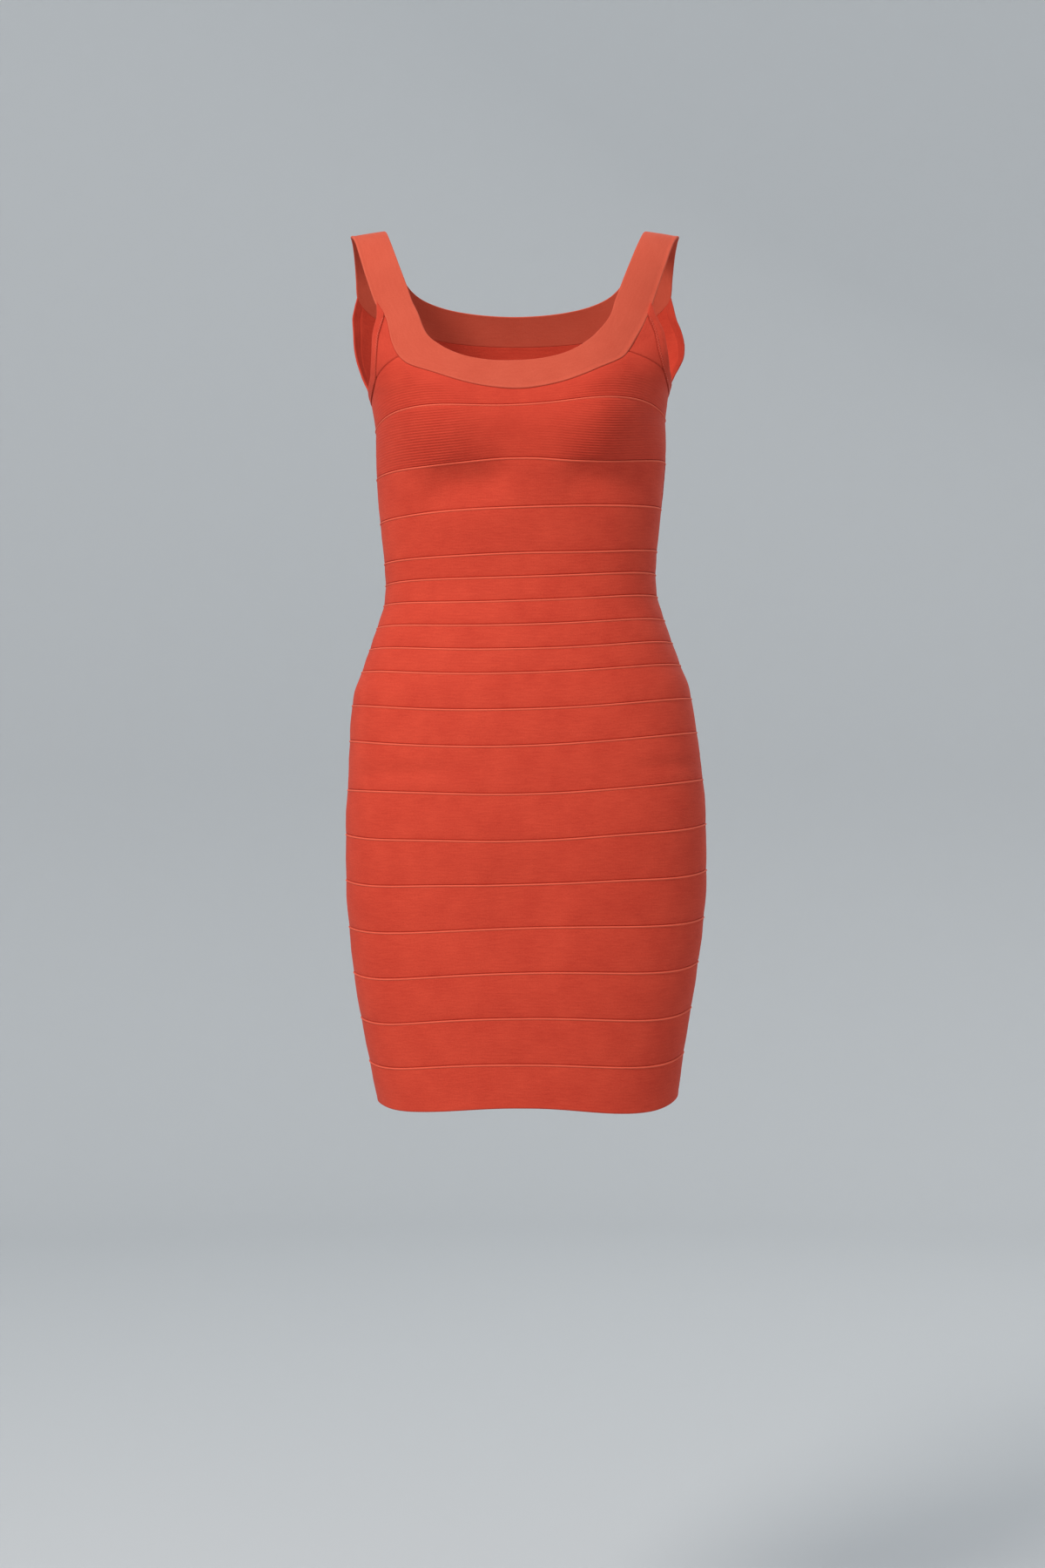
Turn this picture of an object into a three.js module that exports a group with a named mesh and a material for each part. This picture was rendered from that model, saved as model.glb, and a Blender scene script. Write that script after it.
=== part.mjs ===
// A sleeveless bodycon mini dress of knitted bandage strips, in the hollow form it has when worn.
// Millimetres. The origin lies midway between the tops of the two shoulder straps, +Z is up,
// the front of the dress faces -Y and +X is the viewer's right.
import * as THREE from "three";

// Cloth sizes.
const WALL = 1.8; // doubled bandage knit
const SEAM_GAP = 0.3; // between neighbouring pieces
const RIDGE = { out: 0.9, flat: 2.0, foot: 3.2 }; // rolled top edge of a strip: height, width, foot
const YOKE_RIDGE = 0.35; // the same edge on the two strips above the bust seam, where it is faint
const BULGE = 0.6; // how far the middle of a strip swells out between its two seams
const RIB = { pitch: 2.3, out: 0.35 }; // horizontal knitted ribs on the front of the two bust strips
const BINDING_WIDTH = 8; // narrow band round each armhole
const SHOULDER_ROLL = 45; // height over which the straps roll over the shoulders
const ROLL_ROUNDNESS = 0.75; // 1 would be a quarter circle and 0 a straight slope
const STRAP_SLOPE = 5 / 32; // fall of the strap tops from the neck towards the arm
const STRAP_INNER = 123; // neck side of the strap at its top, from the middle of the dress
const BUST = { apex: 83, spread: 42 }; // sideways place and width of the two soft rises in front
const CLOTH_COLOUR = 0xd74b3a; // coral red rayon knit
const BINDING_COLOUR = 0xdc5d48;

// How many stations the walls have.
const STRIP_COLUMNS = 18; // round the front or the back half of a strip
const SPLITS = 2; // stations added between two rows of a neck or armhole table
const CORNER_COLUMNS = 4; // across a corner piece between neckband and armhole
const DEEP_STRIPS = 3; // strips from the top whose inner face gets a middle row, for the bust's curve
const PROBE = 0.5; // half the step, in degrees and millimetres, over which the face's slopes are taken
const SIDE_TURN = 0.035; // degrees that a strip stays short of the side seam, half of SEAM_GAP

// The plain outer face of the cloth on a general figure, from the shoulders down: half width, depth in
// front of and behind the shoulder line, squareness of the section and the bust's rise in front.
const FIGURE = [
  { z: -45, half: 178, front: 58, back: 68, power: 2.5, bust: 0 },
  { z: -75, half: 173.5, front: 69, back: 82, power: 2.5, bust: 0 },
  { z: -100, half: 169, front: 79, back: 90, power: 2.5, bust: 0 },
  { z: -115, half: 164, front: 85, back: 93, power: 2.5, bust: 1 },
  { z: -130, half: 156, front: 92, back: 95, power: 2.5, bust: 3 },
  { z: -145, half: 146.3, front: 98, back: 97, power: 2.5, bust: 6 },
  { z: -160, half: 139.5, front: 103, back: 97, power: 2.4, bust: 10 },
  { z: -190, half: 135.9, front: 108, back: 94, power: 2.3, bust: 16 },
  { z: -225, half: 135.8, front: 104, back: 88, power: 2.2, bust: 10.5 },
  { z: -245, half: 134.3, front: 99.6, back: 84.3, power: 2.2, bust: 5 },
  { z: -265, half: 132.5, front: 96, back: 81, power: 2.2, bust: 1.5 },
  { z: -300, half: 128.7, front: 90, back: 77, power: 2.2, bust: 0 },
  { z: -330, half: 126.8, front: 87, back: 76, power: 2.2, bust: 0 },
  { z: -347, half: 128.2, front: 88, back: 78, power: 2.2, bust: 0 },
  { z: -370, half: 135, front: 91, back: 84, power: 2.2, bust: 0 },
  { z: -415, half: 150.8, front: 97, back: 100, power: 2.2, bust: 0 },
  { z: -433, half: 157.4, front: 100, back: 106, power: 2.2, bust: 0 },
  { z: -450, half: 160.3, front: 102, back: 110, power: 2.2, bust: 0 },
  { z: -500, half: 165.2, front: 105, back: 117, power: 2.25, bust: 0 },
  { z: -560, half: 169.2, front: 105, back: 117, power: 2.3, bust: 0 },
  { z: -610, half: 169.3, front: 102, back: 110, power: 2.3, bust: 0 },
  { z: -660, half: 165.7, front: 99, back: 102, power: 2.3, bust: 0 },
  { z: -710, half: 159.3, front: 97, back: 97, power: 2.3, bust: 0 },
  { z: -760, half: 150.5, front: 94, back: 94, power: 2.3, bust: 0 },
  { z: -830, half: 138.6, front: 91, back: 91, power: 2.3, bust: 0 },
];

// The pose in which it is worn: how far the middle sways to +X, and how the seams climb towards +X.
const POSE = [
  { z: 0, sway: 0, slope: 0 },
  { z: -25, sway: -0.7, slope: 0 },
  { z: -55, sway: -1.1, slope: 0 },
  { z: -72, sway: -1, slope: 0 },
  { z: -90, sway: 2.4, slope: 0 },
  { z: -105, sway: 4.1, slope: 0.008 },
  { z: -120, sway: 5, slope: 0.019 },
  { z: -135, sway: 4.6, slope: 0.03 },
  { z: -150, sway: 4.6, slope: 0.032 },
  { z: -175, sway: 5, slope: 0.036 },
  { z: -225, sway: 5.8, slope: 0.058 },
  { z: -265, sway: 5.5, slope: 0.053 },
  { z: -309, sway: 5.3, slope: 0.047 },
  { z: -352, sway: 5.2, slope: 0.032 },
  { z: -400, sway: 5.6, slope: 0.022 },
  { z: -450, sway: 6.5, slope: 0.021 },
  { z: -485, sway: 8.2, slope: 0.026 },
  { z: -530, sway: 9.8, slope: 0.03 },
  { z: -600, sway: 10.5, slope: 0.028 },
  { z: -650, sway: 10.8, slope: 0.027 },
  { z: -700, sway: 10.3, slope: 0.032 },
  { z: -780, sway: 11, slope: 0.027 },
  { z: -830, sway: 12.5, slope: 0.01 },
];
// The neckline is drawn to -X on the front: how far, at which height and over what height, and the
// depths in front of the shoulder line where this starts and is complete.
const NECK_PULL = { shift: -7.5, z: -112, reach: 28, from: 50, full: 78 };

// The seams between the strips, from the bust seam down to the hem: height at the front middle, how much
// higher the seam lies towards the sides, how far it hangs between the middle and the sides, how far it
// drops just before the side seam, and how far it rises on the +X half and falls on the other.
const SEAMS = [
  { z: -174.8, side: 6, hang: -2.3, drop: 15, lean: 1 },
  { z: -223.3, side: -3, hang: 4, drop: 0, lean: -3 },
  { z: -267, side: -1.5, hang: 0, drop: 0, lean: -1 },
  { z: -308.4, side: 1, hang: 0.5, drop: 0, lean: -1 },
  { z: -330, side: 3.5, hang: 0, drop: 2, lean: -0.5 },
  { z: -352, side: 5.5, hang: 0, drop: 2, lean: 0 },
  { z: -374, side: 7, hang: 0, drop: 3, lean: 0 },
  { z: -396.3, side: 8.5, hang: 0, drop: 3, lean: 0 },
  { z: -418.3, side: 9, hang: 0, drop: 2.5, lean: 0.5 },
  { z: -451.6, side: 10, hang: 0, drop: 1.5, lean: 0.5 },
  { z: -485, side: 10, hang: -0.5, drop: 0.5, lean: 0.5 },
  { z: -529, side: 9, hang: -1, drop: 0.5, lean: -0.5 },
  { z: -571.7, side: 6, hang: -1.5, drop: -3.5, lean: 0 },
  { z: -611.7, side: 0.5, hang: -1, drop: -6, lean: 0 },
  { z: -651.3, side: -5, hang: 0.5, drop: -7, lean: 0 },
  { z: -692.5, side: -8.5, hang: 0.5, drop: -9.5, lean: -1 },
  { z: -734.1, side: -10.5, hang: 0.5, drop: -10.5, lean: -2 },
  { z: -776.6, side: -10, hang: 0.5, drop: -11, lean: -2.5 },
  { z: -817.3, side: -11, hang: 2, drop: -12, lean: -2 },
];
const BACK_SHARE = 0.25; // share of a seam's side rise that it gives up across the back
const BACK_HANG = 0.4; // share of its hang that a seam keeps across the back
const DROP_POWER = 8; // how suddenly a seam drops towards the side seam
const LEAN_PEAK = 2.598; // makes x - x^3 reach 1 at its highest
const YOKE_SEAM = { z: -102, side: -45, hang: 0, drop: 0, lean: 0 }; // the back's seam above the bust strip
const YOKE_BLEND = 30; // degrees over which that seam leaves the armhole's height

// Half of the neckband and its strap, from the shoulder seam to the middle: the neckline edge and the
// outer edge, which is the armhole's edge down to the binding and the band's lower edge from there.
const FRONT_NECK = [
  { inX: 123, inZ: 0, outX: 155, outZ: -5 },
  { inX: 120.5, inZ: -2.7, outX: 152.5, outZ: -7.4 },
  { inX: 117.2, inZ: -10.5, outX: 149.1, outZ: -14.4 },
  { inX: 112.6, inZ: -22.5, outX: 145.5, outZ: -25 },
  { inX: 107.3, inZ: -37, outX: 141.3, outZ: -38.5 },
  { inX: 99.8, inZ: -57, outX: 135, outZ: -57.5 },
  { inX: 94.6, inZ: -72, outX: 127.7, outZ: -78.5 },
  { inX: 89.2, inZ: -86, outX: 121.8, outZ: -88 },
  { inX: 85, inZ: -95, outX: 118.4, outZ: -96.5 },
  { inX: 80.5, inZ: -102.5, outX: 115.2, outZ: -105.5 },
  { inX: 74.8, inZ: -109.5, outX: 111, outZ: -115.5 },
  { inX: 67.3, inZ: -115.5, outX: 106, outZ: -124.5 },
  { inX: 58, inZ: -121.5, outX: 97.5, outZ: -132.8 },
  { inX: 43, inZ: -127.8, outX: 76, outZ: -142 },
  { inX: 22, inZ: -132, outX: 42, outZ: -154.5 },
  { inX: 0, inZ: -133, outX: 0, outZ: -160.5 },
];
const BACK_NECK = [
  { inX: 123, inZ: 0, outX: 155, outZ: -5 },
  { inX: 121.5, inZ: -2.7, outX: 154.3, outZ: -7.5 },
  { inX: 118.5, inZ: -10.5, outX: 153.3, outZ: -15 },
  { inX: 114, inZ: -22.5, outX: 152.3, outZ: -27 },
  { inX: 108, inZ: -34, outX: 151.5, outZ: -41 },
  { inX: 100, inZ: -45, outX: 150.6, outZ: -55 },
  { inX: 90, inZ: -53, outX: 146, outZ: -63.5 },
  { inX: 76, inZ: -59, outX: 133, outZ: -74 },
  { inX: 58, inZ: -63.5, outX: 110, outZ: -84.5 },
  { inX: 32, inZ: -67, outX: 60, outZ: -94 },
  { inX: 0, inZ: -68.5, outX: 0, outZ: -97 },
];
const FRONT_TIP = 6; // row of FRONT_NECK where the binding meets the strap
const FRONT_CORNER = 11; // row of FRONT_NECK where the seam above the bust strip starts
const BACK_TIP = 5; // row of BACK_NECK where the binding meets the strap
const NECK_BAND = [
  // across the neckband, from its outer edge to the neckline
  { share: 0, out: 1.2 },
  { share: 0.09, out: 1.2 },
  { share: 0.17, out: 0.5 },
  { share: 0.6, out: 0.6 },
  { share: 1, out: 0.7 },
];

// Free edge of the right armhole between the two straps: angle from the side seam and height.
const ARMHOLE = [
  { turn: -45, z: -88 },
  { turn: -40.8, z: -102 },
  { turn: -35.9, z: -119 },
  { turn: -26.8, z: -136 },
  { turn: -14, z: -147 },
  { turn: 0, z: -152 },
  { turn: 10, z: -146.5 },
  { turn: 15.5, z: -134 },
  { turn: 19, z: -116 },
  { turn: 23.5, z: -97 },
  { turn: 28.5, z: -78 },
];
const ARM_CORNER_FRONT = 4; // armhole rows, the straps' counted, where the seam above the bust ends
const ARM_SIDE = 6;
const ARM_CORNER_BACK = 8;
const BINDING_TRIM = 0.2; // share of its first and last stretch that a binding stays short of the strap
const CORNER_TRIM = 0.3; // the same for the tip of a corner piece
const YOKE_TRIM = 0.1; // the same for the two tips of the back yoke, between binding and neckband
const BINDING = [
  // across the binding, from its seam to its free edge
  { share: 0, out: 0.9 },
  { share: 0.5, out: 1.2 },
  { share: 1, out: 0.8 },
];

// A soft trough that the cloth draws across the front of the hips on one strip, away from the middle.
const CREASE = { strip: 12, z: -508, depth: 1.2, from: 45, fade: 30 };

const radians = THREE.MathUtils.degToRad;
const degrees = THREE.MathUtils.radToDeg;
const { lerp, smoothstep } = THREE.MathUtils;

// Slopes of a column at each row of a table, kept from overshooting its rows.
function slopesOf(table, key) {
  const steps = table.slice(1).map((row, i) => (row[key] - table[i][key]) / (row.z - table[i].z));
  return table.map((_, i) => {
    const before = steps[Math.max(i - 1, 0)];
    const after = steps[Math.min(i, steps.length - 1)];
    if (before * after <= 0) return 0;
    return (2 * before * after) / (before + after);
  });
}

// Every column of a table as one smooth curve of height.
function curvesOf(table) {
  const keys = Object.keys(table[0]).filter((key) => key !== "z");
  return { table, keys, slopes: Object.fromEntries(keys.map((key) => [key, slopesOf(table, key)])) };
}

function rowAt(curves, z) {
  const { table, keys, slopes } = curves;
  const height = THREE.MathUtils.clamp(z, table[table.length - 1].z, table[0].z);
  const above = Math.max(1, table.findIndex((row) => row.z <= height)) - 1;
  const upper = table[above];
  const lower = table[above + 1];
  const span = lower.z - upper.z;
  const t = (height - upper.z) / span;
  const row = {};
  for (const key of keys) {
    row[key] =
      (1 + 2 * t) * (1 - t) ** 2 * upper[key] +
      t * (1 - t) ** 2 * span * slopes[key][above] +
      t * t * (3 - 2 * t) * lower[key] +
      t * t * (t - 1) * span * slopes[key][above + 1];
  }
  return row;
}

const figureCurves = curvesOf(FIGURE);
const poseCurves = curvesOf(POSE);

// Share of the full depth near the strap tops, where front and back roll together over the shoulder.
function shoulderShare(x, z) {
  const top = -STRAP_SLOPE * Math.max(0, Math.abs(x) - STRAP_INNER);
  const t = THREE.MathUtils.clamp((top - z) / (SHOULDER_ROLL + top), 0, 1);
  return lerp(t, Math.sqrt(t * (2 - t)), ROLL_ROUNDNESS);
}

// A point of the plain face at an angle round the figure: 0 at the right side seam, -90 at the front
// middle, 90 at the back middle. The dress is symmetrical until it is posed.
function facePoint(turn, z) {
  const row = rowAt(figureCurves, z);
  const cosine = Math.cos(radians(turn));
  const sine = Math.sin(radians(turn));
  const x = Math.sign(cosine) * row.half * Math.abs(cosine) ** (2 / row.power);
  const reach = Math.abs(sine) ** (2 / row.power) * shoulderShare(x, z);
  const rise = row.bust * Math.exp(-(((Math.abs(x) - BUST.apex) / BUST.spread) ** 2));
  return new THREE.Vector3(x, sine < 0 ? -reach * (row.front + rise) : reach * row.back, z);
}

// The angle of a point of the front (side -1) or the back (side 1) that lies x from the middle.
function turnAt(x, z, side) {
  const row = rowAt(figureCurves, z);
  const share = Math.min(1, Math.abs(x) / row.half) ** (row.power / 2);
  return side * degrees(Math.acos(Math.sign(x) * share));
}

function faceSteps(turn, z) {
  const round = facePoint(turn + PROBE, z).sub(facePoint(turn - PROBE, z));
  const down = facePoint(turn, z + PROBE).sub(facePoint(turn, z - PROBE));
  return { round, down };
}

function neckPull(point) {
  const { shift, z, reach, from, full } = NECK_PULL;
  return shift * Math.exp(-(((point.z - z) / reach) ** 2)) * smoothstep(-point.y, from, full);
}

function posed(point) {
  const row = rowAt(poseCurves, point.z);
  const x = point.x + row.sway + neckPull(point);
  return new THREE.Vector3(x, point.y, point.z + row.slope * point.x);
}

function clothPoint(turn, z, out) {
  const { round, down } = faceSteps(turn, z);
  return posed(facePoint(turn, z).addScaledVector(round.cross(down).normalize(), out));
}

// The spot on the way from one spot to another, each an angle and a height.
function between(from, to, share) {
  return { turn: lerp(from.turn, to.turn, share), z: lerp(from.z, to.z, share) };
}

// A path of angles and heights moved sideways over the cloth, to the right of its direction.
function shiftedPath(path, distance) {
  return path.map((spot, i) => {
    const before = path[Math.max(i - 1, 0)];
    const after = path[Math.min(i + 1, path.length - 1)];
    const { round, down } = faceSteps(spot.turn, spot.z);
    const across = (after.turn - before.turn) * round.length();
    const along = (after.z - before.z) * down.length();
    const scale = distance / Math.hypot(across, along);
    return {
      turn: spot.turn + (along * scale) / round.length(),
      z: spot.z - (across * scale) / down.length(),
    };
  });
}

// Stations added between the rows of a table by a smooth curve through them.
function split(rows) {
  const made = [];
  for (let i = 0; i < rows.length - 1; i += 1) {
    const four = [rows[Math.max(i - 1, 0)], rows[i], rows[i + 1], rows[Math.min(i + 2, rows.length - 1)]];
    for (let k = 0; k < SPLITS; k += 1) {
      const t = k / SPLITS;
      const row = {};
      for (const key of Object.keys(rows[0])) {
        const [a, b, c, d] = four.map((one) => one[key]);
        row[key] = 0.5 * (2 * b + (c - a) * t + (2 * a - 5 * b + 4 * c - d) * t * t
          + (3 * b - a - 3 * c + d) * t * t * t);
      }
      made.push(row);
    }
  }
  return [...made, rows[rows.length - 1]];
}

const mirrored = (row) => ({ ...row, inX: -row.inX, outX: -row.outX });

// The whole neckband from the left shoulder seam to the right one.
function neckStations(half) {
  return split([...half.map(mirrored), ...half.slice(0, -1).reverse()]);
}

// A closed wall between an outer and an inner face, each a list of columns of points from the bottom
// edge up. A column entry is { point, mark }, and marks pair up the entries of neighbouring columns.
class Wall {
  constructor(outer, inner) {
    this.points = [];
    this.faces = [];
    const outside = outer.map((column) => this.keep(column));
    const inside = inner.map((column) => this.keep(column));
    for (let i = 0; i < outside.length - 1; i += 1) {
      this.zip(outside[i], outside[i + 1]);
      this.zip(inside[i + 1], inside[i]);
      this.quad(inside[i][0], inside[i + 1][0], outside[i + 1][0], outside[i][0]);
      this.quad(outside[i].at(-1), outside[i + 1].at(-1), inside[i + 1].at(-1), inside[i].at(-1));
    }
    this.zip(inside[0], outside[0]);
    this.zip(outside.at(-1), inside.at(-1));
  }

  keep(column) {
    return column.map(({ point, mark }) => ({ index: this.points.push(point) - 1, mark }));
  }

  quad(a, b, c, d) {
    this.faces.push([a.index, b.index, c.index], [a.index, c.index, d.index]);
  }

  zip(left, right) {
    let i = 0;
    let j = 0;
    while (i < left.length - 1 || j < right.length - 1) {
      const climbLeft = j === right.length - 1
        || (i < left.length - 1 && left[i + 1].mark <= right[j + 1].mark);
      const next = climbLeft ? left[i + 1] : right[j + 1];
      this.faces.push([left[i].index, right[j].index, next.index]);
      if (climbLeft) i += 1;
      else j += 1;
    }
  }

  geometry() {
    const solid = new THREE.BufferGeometry().setFromPoints(this.points);
    const { points } = this;
    const volume = this.faces.reduce((sum, [a, b, c]) => {
      return sum + points[a].dot(new THREE.Vector3().crossVectors(points[b], points[c]));
    }, 0);
    solid.setIndex(this.faces.flatMap(([a, b, c]) => (volume > 0 ? [a, b, c] : [a, c, b])));
    solid.computeVertexNormals();
    return solid;
  }
}

function clothMesh(name, wall, colour = CLOTH_COLOUR) {
  const cloth = new THREE.MeshStandardMaterial({ color: colour, roughness: 0.75, metalness: 0 });
  const mesh = new THREE.Mesh(wall.geometry(), cloth);
  mesh.name = name;
  return mesh;
}

// Height of a seam at an angle round the figure, before the pose.
function seamHeight({ z, side, hang, drop, lean }, turn) {
  const x = Math.cos(radians(turn));
  const wave = hang * Math.sin(Math.PI * x) ** 2;
  const tilt = lean * LEAN_PEAK * (x - x ** 3);
  if (turn < 0) return z + side * x * x - wave - drop * x ** DROP_POWER + tilt;
  return z + (side - drop) * (1 - BACK_SHARE * (1 - x * x)) - BACK_HANG * wave;
}

function creaseDepth(turn, z) {
  const x = Math.abs(facePoint(turn, z).x);
  return CREASE.depth * smoothstep(x, CREASE.from, CREASE.from + CREASE.fade);
}

// One column of a strip's outer face between a bottom and a top height: a field that swells or is
// ribbed, then the foot and the flat of the rolled top edge.
function stripColumn({ turn, top, bottom }, style) {
  const rows = [{ z: bottom, out: 0 }];
  const foot = top - RIDGE.foot;
  if (style.ribbed) {
    const step = RIB.pitch / 2;
    for (let k = 1; bottom + (k + 0.5) * step < foot; k += 1) {
      rows.push({ z: bottom + k * step, out: k % 2 ? RIB.out : 0 });
    }
  } else {
    const middle = style.creased ? CREASE.z : (bottom + foot) / 2;
    rows.push({ z: middle, out: style.creased ? BULGE - creaseDepth(turn, middle) : style.bulge });
  }
  rows.push({ z: foot, out: 0 }, { z: top - RIDGE.flat, out: style.ridge }, { z: top, out: style.ridge });
  return rows.map(({ z, out }) => ({ point: clothPoint(turn, z, out), mark: z - bottom }));
}

function innerColumn({ turn, top, bottom }, bands) {
  return Array.from({ length: bands + 1 }, (_, k) => {
    const z = lerp(bottom, top, k / bands);
    return { point: clothPoint(turn, z, -WALL), mark: z - bottom };
  });
}

function strip(name, columns, style) {
  const outer = columns.map((column) => stripColumn(column, style));
  const inner = columns.map((column) => innerColumn(column, style.innerBands));
  return clothMesh(name, new Wall(outer, inner));
}

// Angles of the columns of a whole front (side -1) or back (side 1) half, short of both side seams.
function halfTurns(side) {
  return Array.from({ length: STRIP_COLUMNS + 1 }, (_, i) => {
    const share = i / STRIP_COLUMNS;
    return side * lerp(SIDE_TURN, 180 - SIDE_TURN, share);
  });
}

// A strip that reaches from one side seam to the other, between two seams of the table.
function seamStrip(side, upper) {
  const number = upper + 2;
  const style = {
    ridge: RIDGE.out,
    bulge: BULGE,
    ribbed: side < 0 && number === 2,
    creased: side < 0 && number === CREASE.strip,
    innerBands: number <= DEEP_STRIPS ? 2 : 1,
  };
  const columns = halfTurns(side).map((turn) => ({
    turn,
    top: seamHeight(SEAMS[upper], turn) - SEAM_GAP / 2,
    bottom: seamHeight(SEAMS[upper + 1], turn) + (upper + 2 < SEAMS.length ? SEAM_GAP / 2 : 0),
  }));
  return strip(`${side < 0 ? "front" : "back"}_strip_${String(number).padStart(2, "0")}`, columns, style);
}

// Outer edge of a neckband as a path on the cloth, from the left armhole binding to the right one.
function neckEdge(half, tip, side) {
  const stations = neckStations(half);
  const first = (tip + 1) * SPLITS;
  return stations.slice(first, stations.length - first).map(({ outX, outZ }) => ({
    turn: turnAt(outX, outZ, side),
    z: outZ,
  }));
}

// Free edge of the right armhole from the front strap, under the arm, to the back strap.
function armholePath() {
  const front = FRONT_NECK[FRONT_TIP];
  const back = BACK_NECK[BACK_TIP];
  const start = { turn: turnAt(front.outX, front.outZ, -1), z: front.outZ };
  const end = { turn: turnAt(back.outX, back.outZ, 1), z: back.outZ };
  return split([start, ...ARMHOLE, end]);
}

// The armhole path moved inwards by a distance. Its two ends follow the neckbands' outer edges.
function armholeInset(distance) {
  const path = armholePath();
  const inset = shiftedPath(path, distance);
  const ends = [
    { index: 0, row: FRONT_NECK[FRONT_TIP + 1], side: -1 },
    { index: path.length - 1, row: BACK_NECK[BACK_TIP + 1], side: 1 },
  ];
  for (const { index, row, side } of ends) {
    const goal = { turn: turnAt(row.outX, row.outZ, side), z: row.outZ };
    inset[index] = between(path[index], goal, distance / BINDING_WIDTH);
    inset[index - side] = between(inset[index], inset[index - 2 * side], 0.5);
  }
  return inset;
}

const flippedFront = (spot) => ({ turn: -180 - spot.turn, z: spot.z });
const flippedBack = (spot) => ({ turn: 180 - spot.turn, z: spot.z });

// A band whose two edges are paths on the cloth, closed all round.
function bandWall(seamEdge, freeEdge, across) {
  const columnOf = (rows, i) => rows.map(({ share, out }) => ({
    point: clothPoint(
      lerp(seamEdge[i].turn, freeEdge[i].turn, share),
      lerp(seamEdge[i].z, freeEdge[i].z, share),
      out,
    ),
    mark: share,
  }));
  const inside = [{ share: 0, out: -WALL }, { share: 1, out: -WALL }];
  const indices = seamEdge.map((_, i) => i);
  return new Wall(indices.map((i) => columnOf(across, i)), indices.map((i) => columnOf(inside, i)));
}

function armholeBinding(name, flip) {
  const trim = (path) => {
    const first = between(path[0], path[1], BINDING_TRIM);
    const last = between(path.at(-1), path.at(-2), BINDING_TRIM);
    return [first, ...path.slice(1, -1), last];
  };
  const seamEdge = trim(armholeInset(BINDING_WIDTH));
  const freeEdge = trim(armholePath());
  const place = flip ? (path) => path.map(flippedFront) : (path) => path;
  return clothMesh(name, bandWall(place(seamEdge), place(freeEdge), BINDING), BINDING_COLOUR);
}

// A neckband with its two straps, from shoulder seam to shoulder seam, over the figure's face.
function neckband(name, half, side) {
  const stations = neckStations(half);
  const grid = stations.map(({ inX, inZ, outX, outZ }) => NECK_BAND.map(({ share }) => {
    const x = lerp(outX, inX, share);
    const z = lerp(outZ, inZ, share);
    return facePoint(turnAt(x, z, side), z);
  }));
  const normalAt = (i, j) => {
    const ends = i === 0 || i === grid.length - 1;
    const along = ends
      ? new THREE.Vector3(0, 1, 0)
      : grid[i + 1][j].clone().sub(grid[i - 1][j]);
    const inmost = Math.min(j + 1, NECK_BAND.length - 1);
    const across = grid[i][inmost].clone().sub(grid[i][Math.max(j - 1, 0)]);
    const normal = along.cross(across).normalize();
    const facing = ends ? normal.z : normal.y * side;
    return facing < 0 ? normal.negate() : normal;
  };
  const seam = new THREE.Vector3(0, (side * SEAM_GAP) / 2, 0);
  const entry = (i, j, out) => ({
    point: posed(grid[i][j].clone().addScaledVector(normalAt(i, j), out).add(seam)),
    mark: NECK_BAND[j].share,
  });
  const outer = grid.map((_, i) => NECK_BAND.map(({ out }, j) => entry(i, j, out)));
  const inner = grid.map((_, i) => [entry(i, 0, -WALL), entry(i, NECK_BAND.length - 1, -WALL)]);
  return clothMesh(name, new Wall(outer, inner), BINDING_COLOUR);
}

const neckPanelEdge = shiftedPath(neckEdge(FRONT_NECK, FRONT_TIP, -1), SEAM_GAP);
const backPanelEdge = shiftedPath(neckEdge(BACK_NECK, BACK_TIP, 1), -SEAM_GAP);
const armPanelEdge = armholeInset(BINDING_WIDTH + SEAM_GAP);

// The small front piece between neckband and armhole, above the seam over the bust strip.
function frontCorner(name, flip) {
  const count = (FRONT_CORNER - FRONT_TIP - 1) * SPLITS;
  const neckSide = neckPanelEdge.slice(-1 - count).reverse();
  const armSide = armPanelEdge.slice(0, ARM_CORNER_FRONT * SPLITS + 1);
  const rows = neckSide.map((spot, i) => [spot, armSide[i]]).reverse();
  const tip = rows.pop();
  rows.push(tip.map((spot, k) => between(spot, rows.at(-1)[k], CORNER_TRIM)));
  const lift = (i) => (i === 0 ? SEAM_GAP : 0);
  const spotAt = ([from, to], share, i) => {
    const spot = between(from, to, share);
    spot.z += lift(i);
    return flip ? flippedFront(spot) : spot;
  };
  const columnsOf = (out) => Array.from({ length: CORNER_COLUMNS + 1 }, (_, k) => rows.map((row, i) => {
    const { turn, z } = spotAt(row, k / CORNER_COLUMNS, i);
    return { point: clothPoint(turn, z, out), mark: i };
  }));
  return clothMesh(name, new Wall(columnsOf(0), columnsOf(-WALL)));
}

// Top edge of the front bust strip: binding, corner seam and neckband, then the same on the other side.
function frontYokeTop() {
  const taken = (FRONT_CORNER - FRONT_TIP - 1) * SPLITS;
  const middle = neckPanelEdge.slice(taken, neckPanelEdge.length - taken);
  const side = armPanelEdge.slice(ARM_CORNER_FRONT * SPLITS, ARM_SIDE * SPLITS + 1);
  const inner = middle.at(-1);
  const outer = side[0];
  const corner = Array.from({ length: CORNER_COLUMNS - 1 }, (_, k) => {
    return between(inner, outer, (k + 1) / CORNER_COLUMNS);
  });
  const right = [...corner, ...side];
  right[right.length - 1] = { turn: -SIDE_TURN, z: right.at(-1).z };
  return [...right.map(flippedFront).reverse(), ...middle, ...right];
}

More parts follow.
